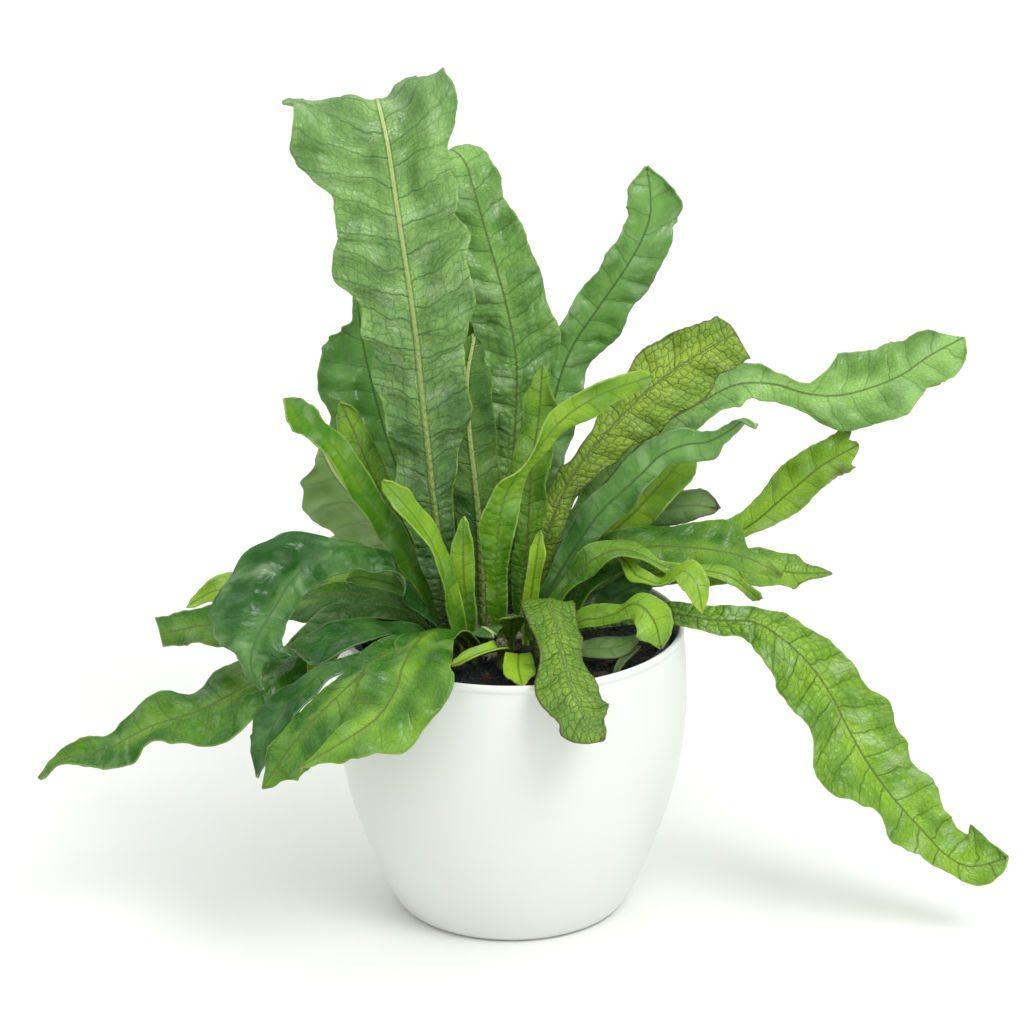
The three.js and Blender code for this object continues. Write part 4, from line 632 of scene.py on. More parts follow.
def blade_sheet(frond, seed, grid):
    """The blade's middle sheet as a grid of points in mm, with its pattern's places: [mm across the midrib,
    mm along it and on from frond to frond, mm to the margin] and [share of the length, shade, dryness]."""
    centre, tangents, normals, length = midrib(frond)
    widest = max(max(row[1:]) for row in frond.half)
    rows = max(8, round(length / grid))
    columns = max(4, round(widest / grid))
    spread = (np.arange(1, columns + 1) / columns) ** CROWDING
    side = np.concatenate([-spread[::-1], [0], spread])[None, :]
    place = np.linspace(0, 1, rows + 1)[:, None]
    reach = np.abs(side)
    run = place * length
    left, right = side < 0, side > 0

    wide = np.where(right, eased(frond.half, place, 2), eased(frond.half, place, 1))
    half = STALK_HALF + (wide - STALK_HALF) * smooth((run - STALK_LONG) / STALK_LONG)
    if frond.tip > 0:
        close = TIP_ROUND * wide[-1].max()
        half = half * np.sqrt(np.clip(1 - np.clip((run - length + close) / close, 0, 1) ** 2, 0.0004, 1))
    grown = smooth((place - BLADE_FROM) / (BLADE_FULL - BLADE_FROM))
    near_tip = smooth((place - TIP_FROM) / (1 - TIP_FROM))
    slant = VEIN_SLANT * reach * grown * (1 - near_tip) - frond.tip * TIP_SWEEP * side * side * near_tip
    at = np.clip(place + (slant * half - bitten(frond, side, place)) / length, 0, 1)

    frames = [np.stack([np.interp(at, np.linspace(0, 1, SAMPLES + 1), part[:, k]) for k in range(3)], -1)
              for part in (centre, tangents, normals)]
    points, along, upper = frames[0], unit(frames[1]), frames[2]
    upper = square(upper, along)
    over = np.cross(along, upper)
    turn = np.radians(eased(frond.turns, place))[..., None] if frond.turns else 0
    up = upper * np.cos(turn) + over * np.sin(turn)
    over = np.cross(along, up)

    def margins(long, short, share, first):
        return np.where(left, ripple(run, long, short, share, seed, first),
                        ripple(run, long, short, share, seed, first + 1))

    lobe = 1 + grown * LOBE * margins(LOBE_LONG, LOBE_SHORT, LOBE_SHARE, 0)
    tooth = TOOTH * grown * (1 + near_tip) * reach ** TOOTH_POWER * margins(TOOTH_LONG, TOOTH_SHORT, TOOTH_SHARE, 8)
    wave = grown * frond.wave * WAVE_LIFT * reach ** WAVE_POWER * margins(WAVE_LONG, WAVE_SHORT, WAVE_SHARE, 4)
    rise = wave + frond.keel * half * reach ** KEEL_POWER
    across = side * half * lobe + np.sign(side) * tooth * np.clip(half / TOOTH_FULL, 0, 1)
    points = points + over * across[..., None] + up * rise[..., None]

    to_margin = np.minimum((1 - reach) * half, (1 - at) * length + TIP_RIM * half * (frond.tip > 0))
    blade = np.stack([across, at * length + seed * PATTERN_STEP, to_margin], -1)
    growth = np.broadcast_to(np.stack(np.broadcast_arrays(place, frond.shade, frond.dry), -1), blade.shape)
    return points, blade, growth


def grid_faces(rows, columns, closed=False):
    """Quads over a grid of points stored row by row; closed joins the last column to the first."""
    i, j = np.meshgrid(np.arange(rows - 1), np.arange(columns if closed else columns - 1), indexing="ij")
    i, j = i.ravel(), j.ravel()
    k = (j + 1) % columns
    return np.stack([i * columns + j, i * columns + k, (i + 1) * columns + k, (i + 1) * columns + j], -1)


def tube_faces(rings, sides, first=0):
    """Faces over rings of points in a row, with a fan at each end on the two points that follow the rings."""
    faces = (grid_faces(rings, sides, closed=True) + first).tolist()
    count = first + rings * sides
    for k in range(sides):
        after = (k + 1) % sides
        faces += [(first + after, first + k, count), (count - sides + k, count - sides + after, count + 1)]
    return faces


def mesh_object(name, points, faces, attributes=()):
    """A mesh object from points in mm. Each attribute is a name and one vector a point."""
    mesh = bpy.data.meshes.new(name)
    mesh.from_pydata((np.asarray(points).reshape(-1, 3) * MM).tolist(), [], [list(face) for face in faces])
    for key, values in attributes:
        layer = mesh.attributes.new(key, "FLOAT_VECTOR", "POINT")
        layer.data.foreach_set("vector", np.ascontiguousarray(values, np.float32).ravel())
    mesh.update()
    piece = bpy.data.objects.new(name, mesh)
    bpy.context.scene.collection.objects.link(piece)
    return piece


def turned(name, profile, sides):
    """A closed turned solid from [radius, z] pairs that start and end on the axis."""
    rings = np.array(profile[1:-1], float)
    angle = np.arange(sides) * 2 * math.pi / sides
    points = np.stack([rings[:, :1] * np.cos(angle), rings[:, :1] * np.sin(angle),
                       np.broadcast_to(rings[:, 1:], (len(rings), sides))], -1).reshape(-1, 3)
    points = np.vstack([points, [0, 0, profile[0][1]], [0, 0, profile[-1][1]]])
    return mesh_object(name, points, tube_faces(len(rings), sides))


def add(tree, kind, inputs=(), **settings):
    """Adds a node. inputs holds, by place or by name, plain values, sockets, or nodes for their first output."""
    node = tree.nodes.new(kind)
    for key, value in settings.items():
        setattr(node, key, value)
    for key, value in inputs.items() if isinstance(inputs, dict) else enumerate(inputs):
        if isinstance(value, bpy.types.Node):
            value = next(socket for socket in value.outputs if socket.enabled)
        if isinstance(value, bpy.types.NodeSocket):
            tree.links.new(value, node.inputs[key])
        elif value is not None:
            node.inputs[key].default_value = value
    return node


def new_tree(name, sockets):
    """A Geometry Nodes tree with a Geometry input and output, and the named inputs. Gives the tree, its inputs
    by name and the socket that takes its result."""
    tree = bpy.data.node_groups.new(name, "GeometryNodeTree")
    tree.interface.new_socket("Geometry", in_out="OUTPUT", socket_type="NodeSocketGeometry")
    tree.interface.new_socket("Geometry", in_out="INPUT", socket_type="NodeSocketGeometry")
    for label, kind in sockets:
        tree.interface.new_socket(label, in_out="INPUT", socket_type=kind)
    return tree, tree.nodes.new("NodeGroupInput").outputs, tree.nodes.new("NodeGroupOutput").inputs[0]


def run_tree(piece, tree, values):
    """Puts the tree on the piece as a modifier with these input values."""
    modifier = piece.modifiers.new("nodes", "NODES")
    modifier.node_group = tree
    for item in tree.interface.items_tree:
        if item.item_type == "SOCKET" and item.in_out == "INPUT" and item.name in values:
            modifier[item.identifier] = values[item.name]


def settle(pieces):
    """Turns each piece's evaluated geometry into its plain mesh, and takes its modifiers off."""
    graph = bpy.context.evaluated_depsgraph_get()
    meshes = [bpy.data.meshes.new_from_object(piece.evaluated_get(graph)) for piece in pieces]
    for piece, mesh in zip(pieces, meshes):
        old = piece.data
        piece.modifiers.clear()
        piece.data = mesh
        bpy.data.meshes.remove(old)
        mesh.name = piece.name
        mesh.shade_smooth()


def strewn_layer(name, base, tree, values):
    """A piece of its own that the scatter tree strews over the faces of the base."""
    mesh = base.data
    axes = [("axis", [item.vector for item in mesh.attributes["axis"].data])] if "axis" in mesh.attributes else []
    layer = mesh_object(name, [v.co / MM for v in mesh.vertices], [face.vertices for face in mesh.polygons], axes)
    run_tree(layer, tree, values)
    return layer


def dress(piece, node=None):
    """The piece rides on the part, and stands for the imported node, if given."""
    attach(piece, BODY)
    if node:
        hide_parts(node)


def vein_lines(tree, blade, spacing, cell):
    """Distances in mm from a place on a blade to the midrib, to the nearest side vein, to the net that
    parts each strip into cells, and to the fine net inside them, then the place counted in strips. The same
    nodes shape the relief and draw the colours; spacing and cell, in mm, are values or sockets."""
    across, along, _ = add(tree, SPLIT, [blade]).outputs
    flat = add(tree, JOIN, [across, along, 0.0])
    bend = add(tree, NOISE, {"Vector": flat, "Scale": BEND_SCALE, "Detail": 1.0})
    kink = add(tree, NOISE, {"Vector": flat, "Scale": KINK_SCALE, "Detail": 1.0})
    kink = add(tree, SPLIT, [kink.outputs["Color"]])
    reach = add(tree, MATH, [across], operation="ABSOLUTE")
    left = add(tree, MATH, [across, 0.0], operation="LESS_THAN")
    run = add(tree, MATH, [reach, -VEIN_SLANT, along], operation="MULTIPLY_ADD")
    run = add(tree, MATH, [bend, BEND_REACH, run], operation="MULTIPLY_ADD")
    run = add(tree, MATH, [kink.outputs[0], KINK_REACH, run], operation="MULTIPLY_ADD")
    strip = add(tree, MATH, [run, spacing], operation="DIVIDE")
    strip = add(tree, MATH, [left, STRIPS_APART, strip], operation="MULTIPLY_ADD")
    gap = add(tree, MATH, [strip, 0.5], operation="PINGPONG")
    side_vein = add(tree, MATH, [gap, spacing], operation="MULTIPLY")
    swayed = add(tree, MATH, [kink.outputs[1], KINK_REACH, reach], operation="MULTIPLY_ADD")
    share = add(tree, MATH, [spacing, cell], operation="DIVIDE")
    rows = add(tree, MATH, [share], operation="ROUND")
    nets = []
    for finer, loose in ((1.0, 0.5), (2.0, 0.8)):
        per_mm = add(tree, MATH, [finer, cell], operation="DIVIDE")
        column = add(tree, MATH, [swayed, per_mm], operation="MULTIPLY")
        column = add(tree, MATH, [left, CELLS_APART, column], operation="MULTIPLY_ADD")
        row = add(tree, MATH, [strip, rows], operation="MULTIPLY")
        row = add(tree, MATH, [row, finer, 0.5 + loose / 2], operation="MULTIPLY_ADD")
        place = add(tree, JOIN, [column, row, 0.0])
        edge = add(tree, "ShaderNodeTexVoronoi", {"Scale": 1.0, "Randomness": loose, "Vector": place},
                   voronoi_dimensions="2D", feature="DISTANCE_TO_EDGE")
        nets.append(add(tree, MATH, [edge.outputs["Distance"], per_mm], operation="DIVIDE"))
    return reach, side_vein, nets[0], nets[1], strip


def blade_tree():
    """Gives a flat sheet its quilted relief and its two skins, with the midrib's ridge underneath."""
    tree, given, result = new_tree("frond blade", [
        ("Thickness", "NodeSocketFloat"), ("Side veins", "NodeSocketFloat"), ("Groove", "NodeSocketFloat"),
        ("Cell", "NodeSocketFloat"), ("Puff", "NodeSocketFloat"), ("Quilt", "NodeSocketFloat"),
        ("Swell", "NodeSocketFloat"), ("Net at the tip", "NodeSocketFloat"), ("Finish", "NodeSocketMaterial")])
    sheet = given["Geometry"]
    blade = add(tree, "GeometryNodeInputNamedAttribute", {"Name": "blade"}, data_type="FLOAT_VECTOR")
    growth = add(tree, "GeometryNodeInputNamedAttribute", {"Name": "growth"}, data_type="FLOAT_VECTOR")
    margin = add(tree, SPLIT, [blade]).outputs[2]
    place = add(tree, SPLIT, [growth]).outputs[0]
    spacing = given["Side veins"]
    reach, side_vein, net, _, _ = vein_lines(tree, blade, spacing, given["Cell"])
    hollow = add(tree, MATH, [side_vein, net], operation="MINIMUM")
    hollow = add(tree, MATH, [hollow, reach], operation="MINIMUM")
    swells = add(tree, NOISE, {"Vector": blade, "Scale": SWELL_SCALE, "Detail": 0.0})
    half_strip = add(tree, MATH, [spacing, STRIP_CREST], operation="MULTIPLY")
    fall = add(tree, MATH, [place, -RIDGE_LOSS * MM, RIDGE * MM], operation="MULTIPLY_ADD")
    # Each row: what it eases, where it starts and ends, the values there, and what they are multiplied by.
    at = {}
    for key, value, near, far, low, high, *factors in (
            ("calm", margin, 0.0, CALM_MARGIN, 0.0, 1.0),
            ("outward", reach, 1.0, 12.0, 0.0, 1.0),
            ("net", place, NET_FROM, NET_TO, 1.0, given["Net at the tip"]),
            ("grown", place, BLADE_FROM, BLADE_FULL, 0.0, 1.0),
            ("cells", hollow, 0.0, given["Groove"], -0.5, 0.5, "calm", "net", given["Puff"]),
            ("strips", side_vein, 0.0, half_strip, -0.5, 0.5, "calm", "outward", given["Quilt"]),
            ("swells", swells, 0.3, 0.7, -0.5, 0.5, "outward", given["Swell"]),
            ("ridge", reach, 0.0, RIDGE_SIDE, 1.0, 0.0, fall)):
        at[key] = add(tree, RANGE, {"Value": value, "From Min": near, "From Max": far, "To Min": low,
                                    "To Max": high}, interpolation_type="SMOOTHSTEP")
        for factor in factors:
            at[key] = add(tree, MATH, [at[key], at.get(factor, factor)], operation="MULTIPLY")
    relief = add(tree, MATH, [at["cells"], at["strips"]], operation="ADD")
    relief = add(tree, MATH, [relief, at["swells"]], operation="ADD")
    relief = add(tree, MATH, [relief, at["grown"]], operation="MULTIPLY")
    skin = add(tree, MATH, [given["Thickness"], 0.5], operation="MULTIPLY")
    over = add(tree, MATH, [relief, skin], operation="ADD")
    under = add(tree, MATH, [relief, skin], operation="SUBTRACT")
    under = add(tree, MATH, [under, at["ridge"]], operation="SUBTRACT")

    kept = add(tree, "GeometryNodeCaptureAttribute", {"Geometry": sheet})
    kept.capture_items.new("VECTOR", "facing")
    tree.links.new(add(tree, "GeometryNodeInputNormal").outputs[0], kept.inputs["facing"])
    facing = kept.outputs["facing"]
    up = add(tree, VECTOR, {0: facing, "Scale": over}, operation="SCALE")
    down = add(tree, VECTOR, {0: facing, "Scale": under}, operation="SCALE")
    lifted = add(tree, "GeometryNodeExtrudeMesh", {
        "Mesh": kept.outputs["Geometry"], "Offset Scale": 0.0, "Individual": False})
    lower = add(tree, "FunctionNodeBooleanMath", [lifted.outputs["Top"]], operation="NOT")
    top = add(tree, MOVE, {
        "Geometry": lifted.outputs["Mesh"], "Selection": lifted.outputs["Top"], "Offset": up})
    rim = add(tree, MOVE, {"Geometry": top, "Selection": lower, "Offset": down})
    floor = add(tree, "GeometryNodeFlipFaces", {"Mesh": kept.outputs["Geometry"]})
    floor = add(tree, MOVE, {"Geometry": floor, "Offset": down})
    floor = add(tree, "GeometryNodeStoreNamedAttribute", {"Geometry": floor, "Name": "underside", "Value": 1.0},
                data_type="FLOAT", domain="POINT")
    both = add(tree, "GeometryNodeJoinGeometry", [rim])
    tree.links.new(floor.outputs[0], both.inputs[0])
    whole = add(tree, "GeometryNodeMergeByDistance", {"Geometry": both, "Distance": SKIN_JOIN})
    whole = add(tree, "GeometryNodeRealizeInstances", [whole])
    finish = add(tree, "GeometryNodeSetMaterial", {"Geometry": whole, "Material": given["Finish"]})
    tree.links.new(finish.outputs[0], result)
    return tree


def scatter_tree():
    """Strews lumpy flakes over the upward faces, or lays scales along the "axis" attribute."""
    tree, given, result = new_tree("scatter", [
        ("Density", "NodeSocketFloat"), ("Size", "NodeSocketFloat"), ("Stretch", "NodeSocketVector"),
        ("Uprightness", "NodeSocketFloat"), ("Disorder", "NodeSocketFloat"), ("Seed", "NodeSocketInt"),
        ("Finish", "NodeSocketMaterial")])
    normal = add(tree, "GeometryNodeInputNormal")
    height = add(tree, SPLIT, [normal])
    chosen = add(tree, "FunctionNodeCompare", {0: height.outputs[2], 1: given["Uprightness"]},
                 data_type="FLOAT", operation="GREATER_THAN")
    strewn = add(tree, "GeometryNodeDistributePointsOnFaces", {
        "Mesh": given["Geometry"], "Selection": chosen, "Density": given["Density"],
        "Seed": given["Seed"]})
    flake = add(tree, "GeometryNodeMeshIcoSphere", {"Radius": 1.0, "Subdivisions": 2})
    lumps = add(tree, NOISE, {"Scale": FLAKE_LUMPS, "Detail": 1.0})
    lumps = add(tree, VECTOR, [lumps.outputs["Color"], (-0.5, -0.5, -0.5)], operation="ADD")
    flake = add(tree, MOVE, {"Geometry": flake, "Offset": lumps})
    axis = add(tree, "GeometryNodeInputNamedAttribute", {"Name": "axis"}, data_type="FLOAT_VECTOR")
    lie = add(tree, "FunctionNodeAlignRotationToVector", {"Vector": strewn.outputs["Normal"]}, axis="Z")
    lie = add(tree, "FunctionNodeAlignRotationToVector", {"Rotation": lie, "Vector": axis}, axis="Y", pivot_axis="Z")
    ends = add(tree, VECTOR, {0: [FLAKE_TUMBLE] * 3, "Scale": given["Disorder"]}, operation="SCALE")
    starts = add(tree, VECTOR, {0: ends, "Scale": -1.0}, operation="SCALE")
    tumble = add(tree, "FunctionNodeRandomValue", {0: starts, 1: ends, "Seed": given["Seed"]},
                 data_type="FLOAT_VECTOR")
    tumble = add(tree, "FunctionNodeEulerToRotation", [tumble])
    turn = add(tree, "FunctionNodeRotateRotation", {"Rotation": lie, "Rotate By": tumble}, rotation_space="LOCAL")
    size = add(tree, "FunctionNodeRandomValue", {2: FLAKE_SIZES[0], 3: FLAKE_SIZES[1], "Seed": 7}, data_type="FLOAT")
    size = add(tree, MATH, [size, given["Size"]], operation="MULTIPLY")
    shape = add(tree, VECTOR, {0: given["Stretch"], "Scale": size}, operation="SCALE")
    laid = add(tree, "GeometryNodeInstanceOnPoints", {
        "Points": strewn.outputs["Points"], "Instance": flake, "Rotation": turn, "Scale": shape})
    real = add(tree, "GeometryNodeRealizeInstances", [laid])
    finish = add(tree, "GeometryNodeSetMaterial", {"Geometry": real, "Material": given["Finish"]})
    tree.links.new(finish.outputs[0], result)
    return tree


def new_material(name):
    material = bpy.data.materials.new(name)
    material.use_nodes = True
    material.node_tree.nodes.clear()
    return material, material.node_tree


def end_material(tree, inputs):
    """Closes the tree with its Principled shader and output."""
    shader = add(tree, "ShaderNodeBsdfPrincipled", inputs)
    add(tree, "ShaderNodeOutputMaterial", {"Surface": shader})


def glazed_finish(colour, roughness):
    """Satin-glazed earthenware: an even white with a soft broad highlight and the faintest ripple."""
    material, tree = new_material("satin_glazed_earthenware")
    place = add(tree, "ShaderNodeTexCoord").outputs["Object"]
    uneven = add(tree, NOISE, {"Vector": place, "Scale": 1 / (9 * MM), "Detail": 2.0})
    cloud = add(tree, NOISE, {"Vector": place, "Scale": 1 / (40 * MM), "Detail": 3.0})
    gloss = add(tree, RANGE, {"Value": cloud, "To Min": roughness - 0.04, "To Max": roughness + 0.05})
    tint = add(tree, MIX, {0: cloud, 6: (*[c * 0.97 for c in colour], 1), 7: (*colour, 1)},
               data_type="RGBA")
    bump = add(tree, "ShaderNodeBump", {"Height": uneven, "Strength": 0.25, "Distance": 0.12 * MM})
    end_material(tree, {"Base Color": tint, "Roughness": gloss, "Normal": bump, "IOR": 1.5})
    return material


def moulded_finish(colour):
    """Thermoformed polypropylene: black, with a dull sheen and fine scuffs."""
    material, tree = new_material("black_polypropylene")
    place = add(tree, "ShaderNodeTexCoord").outputs["Object"]
    scuffs = add(tree, NOISE, {"Vector": place, "Scale": 1 / (2 * MM), "Detail": 4.0})
    gloss = add(tree, RANGE, {"Value": scuffs, "To Min": 0.42, "To Max": 0.62})
    dark, light = ((*[c * part for c in colour], 1) for part in (0.7, 1.4))
    shade = add(tree, MIX, {0: scuffs, 6: dark, 7: light}, data_type="RGBA")
    bump = add(tree, "ShaderNodeBump", {"Height": scuffs, "Strength": 0.3, "Distance": 0.1 * MM})
    end_material(tree, {"Base Color": shade, "Roughness": gloss, "Normal": bump})
    return material


def crumbly_finish(name, dark, light, roughness):
    """Damp peat and bark: dark crumbs mottled at the size of a grain, dull, with a gritty surface."""
    material, tree = new_material(name)
    place = add(tree, "ShaderNodeTexCoord").outputs["Object"]
    mottle = add(tree, NOISE, {
        "Vector": place, "Scale": 1 / (2.5 * MM), "Detail": 5.0, "Roughness": 0.7})
    patches = add(tree, NOISE, {"Vector": place, "Scale": 1 / (12 * MM), "Detail": 2.0})
    share = add(tree, MATH, [mottle, patches], operation="MULTIPLY")
    share = add(tree, RANGE, {"Value": share, "From Min": 0.12, "From Max": 0.42})
    shade = add(tree, MIX, {0: share, 6: (*dark, 1), 7: (*light, 1)}, data_type="RGBA")
    bump = add(tree, "ShaderNodeBump", {"Height": mottle, "Strength": 0.9, "Distance": 0.7 * MM})
    end_material(tree, {"Base Color": shade, "Roughness": roughness, "Normal": bump})
    return material


def rootstock_finish(name, dark, light):
    """Living rootstock: a waxy whitish-green skin, browner between its scales."""
    material, tree = new_material(name)
    place = add(tree, "ShaderNodeTexCoord").outputs["Object"]
    mottle = add(tree, NOISE, {"Vector": place, "Scale": 1 / (3 * MM), "Detail": 4.0})
    share = add(tree, RANGE, {"Value": mottle, "From Min": 0.35, "From Max": 0.65})
    shade = add(tree, MIX, {0: share, 6: (*dark, 1), 7: (*light, 1)}, data_type="RGBA")
    bump = add(tree, "ShaderNodeBump", {"Height": mottle, "Strength": 0.6, "Distance": 0.4 * MM})
    end_material(tree, {"Base Color": shade, "Roughness": 0.6, "Normal": bump})
    return material


def frond_finish(name, tone, spacing):
    """Fern leaf: a waxy cuticle over green cells. Cushions stand between sunken dark veins, their raised middles
    painted lighter and their sides darker as painted light; pale patches of painted sheen lie on the glossy strips,
    and painted shade darkens the base where the fronds crowd. The midrib is a thin dark line above and a pale
    ridge underneath, and the margin is a thin line of its own colour."""
    material, tree = new_material(name)
    blade, growth, surface = (add(tree, "ShaderNodeAttribute", attribute_name=key).outputs["Vector"]
                              for key in ("blade", "growth", "surface"))
    underside = add(tree, "ShaderNodeAttribute", attribute_name="underside").outputs["Fac"]
    across, _, margin = add(tree, SPLIT, [blade]).outputs
    place, shade, dry = add(tree, SPLIT, [growth]).outputs
    quilt, sheen_strength, _ = add(tree, SPLIT, [surface]).outputs
    reach, side_vein, net, fine, strip = vein_lines(tree, blade, spacing, tone.cell)

    cloud = add(tree, NOISE, {"Vector": blade, "Scale": CLOUD_SCALE, "Detail": 3.0})
    grain = add(tree, NOISE, {"Vector": blade, "Scale": GRAIN_SCALE, "Detail": 3.0})
    banded = add(tree, JOIN, [across, strip, 0.0])
    banded = add(tree, VECTOR, [banded, SHEEN_AND_FRAY_SCALE], operation="MULTIPLY")
    sheen_and_fray = add(tree, NOISE, {"Vector": banded, "Scale": 1.0, "Detail": 3.0, "Roughness": 0.55})
    hollow = add(tree, MATH, [side_vein, net], operation="MINIMUM")
    above = add(tree, MATH, [1.0, underside], operation="SUBTRACT")
    rib_half = add(tree, MATH, [place, RIB_TAPER, RIB_HALF], operation="MULTIPLY_ADD")
    ridge_half = add(tree, MATH, [place, RIDGE_TAPER, RIDGE_HALF], operation="MULTIPLY_ADD")
    off_rib = add(tree, MATH, [reach, rib_half], operation="SUBTRACT")
    off_ridge = add(tree, MATH, [reach, ridge_half], operation="SUBTRACT")
    # The painted sheen's banded noise also frays the dried tip's margin.
    frayed = add(tree, MATH, [sheen_and_fray, -16.0, margin], operation="MULTIPLY_ADD")
    drawn = add(tree, MATH, [quilt, 0.8, 0.3], operation="MULTIPLY_ADD")
    # Each row: what it eases, where it starts and ends, the values there, and what they are multiplied by.
    at = {}
    for key, value, near, far, low, high, *factors in (
            ("shown", place, NET_FROM, NET_TO, 1.0, tone.net_tip, quilt),
            # Painted light: cells lighter in their raised middles and darker towards the sunken veins.
            ("cushion", hollow, 0.0, 3.4, 0.0, 1.0, "shown"),
            ("mottle", cloud, 0.32, 0.68, -0.22, 0.24),
            ("beside", reach, 1.0, 10.0, 0.22, 0.0),
            # Painted shade: darker towards the base, where the fronds crowd in the crown.
            ("crown_shade", place, 0.1, 0.65, -0.52, 0.0),
            ("between", side_vein, 0.3, 2.4, 0.35, 1.0),
            # Painted sheen: pale highlight patches on the strips between the side veins.
            ("sheen_and_fray", sheen_and_fray, 0.48, 0.7, 0.0, 0.36, "between"),
            ("fine", fine, 0.05, 0.3, 1.0, 0.0, 0.35 * tone.net),
            ("net", net, 0.1, 0.5, 1.0, 0.0, tone.net),
            ("side", side_vein, 0.0, 0.8, 1.0, 0.0, drawn),
            ("fade", reach, 3.0, 28.0, tone.veins, 0.3 * tone.veins),
            ("ridge edge", off_ridge, 0.2, 1.2, 0.55, 0.0),
            ("ridge", off_ridge, -0.5, 0.2, 0.95, 0.0),
            ("rib", off_rib, -0.5, 0.55, 0.9, 0.0),
            ("rim", margin, 0.2, tone.edge, tone.edging, 0.0),
            ("burnt", frayed, -9.0, -4.0, 1.0, 0.0),
            ("tip", place, 0.8, 1.0, 0.0, 1.0, dry),
            ("foot", place, 0.03, 0.15, 0.75, 0.0),
            ("gloss", cloud, 0.35, 0.65, tone.roughness - 0.06, tone.roughness + 0.08)):
        at[key] = add(tree, RANGE, {"Value": value, "From Min": near, "From Max": far, "To Min": low,
                                    "To Max": high}, interpolation_type="SMOOTHSTEP")
        for factor in factors:
            at[key] = add(tree, MATH, [at[key], at.get(factor, factor)], operation="MULTIPLY")

    # The share between the dark and light colour: the frond's shade, partly its own colour and partly painted shade
    # for fronds deep in the crown, then painted light on the cells' raised middles, grain, random mottle, the paler
    # band beside the midrib, and painted shade towards the crowded base.
    share = add(tree, MATH, [shade, 0.9, -0.2], operation="MULTIPLY_ADD")
    share = add(tree, MATH, [at["cushion"], 0.2, share], operation="MULTIPLY_ADD")
    share = add(tree, MATH, [grain, 0.3, share], operation="MULTIPLY_ADD")
    for part in (at["mottle"], at["beside"], at["crown_shade"]):
        share = add(tree, MATH, [share, part], operation="ADD")
    share = add(tree, MATH, [share, 0.0], operation="ADD", use_clamp=True)
    colour = add(tree, MIX, {0: share, 6: rgba(tone.dark), 7: rgba(tone.light)}, data_type="RGBA")
    ridge_colour = add(tree, MIX, {0: place, 6: rgba(RIDGE_ROOT), 7: rgba(RIDGE_TIP)}, data_type="RGBA")
    for amount, strength, over in (
            # The pale painted sheen goes on first, as highlights on the glossy patches.
            (at["sheen_and_fray"], sheen_strength, rgba(PAINTED_SHEEN)),
            (at["fine"], quilt, rgba(tone.vein)),
            (at["net"], at["shown"], rgba(tone.vein)),
            (at["side"], at["fade"], rgba(tone.vein)),
            (underside, 0.05, rgba(UNDERSIDE)),
            (at["ridge edge"], underside, rgba(tone.vein)),
            (at["ridge"], underside, ridge_colour),
            (at["rib"], above, rgba(tone.rib)),
            (at["rim"], 1.0, rgba(tone.margin)),
            (at["burnt"], at["tip"], rgba(DRIED)),
            (at["foot"], 1.0, rgba(FOOT))):
        part = add(tree, MATH, [amount, strength], operation="MULTIPLY")
        colour = add(tree, MIX, {0: part, 6: colour, 7: over}, data_type="RGBA")

    height = at["cushion"]
    for line, depth in ((at["fine"], -0.6), (at["side"], -0.3), (grain, 0.12)):
        height = add(tree, MATH, [line, depth, height], operation="MULTIPLY_ADD")
    bump = add(tree, "ShaderNodeBump", {"Height": height, "Strength": tone.relief, "Distance": 0.9 * MM})
    end_material(tree, {"Base Color": colour, "Roughness": at["gloss"], "Normal": bump, "IOR": 1.38})
    return material


def pot_profile():
    """The cover pot's closed profile: foot, bulged side, rounded lip, then down the inside to the floor."""
    side = [tuple(p) for p in even_places(POT_SIDE, POT_SIDE_RINGS)[0]]
    inside = [(radius - POT_WALL, z) for radius, z in reversed(side) if z > POT_WALL_FROM_Z]
    return [*POT_FOOT, *side[1:], *POT_LIP, *inside, (POT_FLOOR_RADIUS, POT_FLOOR_Z), (0, POT_FLOOR_Z)]


def soil_height(x, y):
    """Height of the soil: two crossed sets of lumps, one broad and one fine."""
    broad = np.sin(x / SOIL_BROAD[0] + 1.3) * np.cos(y / SOIL_BROAD[1])
    fine = np.sin((x + y) / SOIL_FINE[0]) * np.cos((x - y) / SOIL_FINE[1])
    return SOIL_TOP_Z + SOIL_LUMP * (broad + SOIL_FINE_SHARE * fine)


def soil_bed():
    """The soil as a closed plug whose top follows its lumps, roughened at the size of a crumb."""
    rough = np.random.default_rng(5)
    radius = SOIL_RADIUS * np.arange(1, SOIL_RINGS + 1) / SOIL_RINGS
    angle = np.arange(SOIL_SIDES) * 2 * math.pi / SOIL_SIDES
    x, y = radius[:, None] * np.cos(angle), radius[:, None] * np.sin(angle)
    z = soil_height(x, y) + rough.normal(0, SOIL_ROUGH, x.shape)
    z[-1] = SOIL_TOP_Z - SOIL_EDGE_DROP
    top = np.stack([x, y, z], -1)[::-1].reshape(-1, 3)
    foot = np.stack([SOIL_FOOT_RADIUS * np.cos(angle), SOIL_FOOT_RADIUS * np.sin(angle),
                     np.full(SOIL_SIDES, SOIL_FOOT_Z)], -1)
    points = np.vstack([foot, top, [0, 0, soil_height(0, 0)], [0, 0, SOIL_FOOT_Z]])
    faces = grid_faces(SOIL_RINGS + 1, SOIL_SIDES, closed=True).tolist()
    last = SOIL_RINGS * SOIL_SIDES
    for k in range(SOIL_SIDES):
        after = (k + 1) % SOIL_SIDES
        faces.append((last + k, last + after, len(points) - 2))
        faces.append((after, k, len(points) - 1))
    return mesh_object("soil_bed", points, faces)


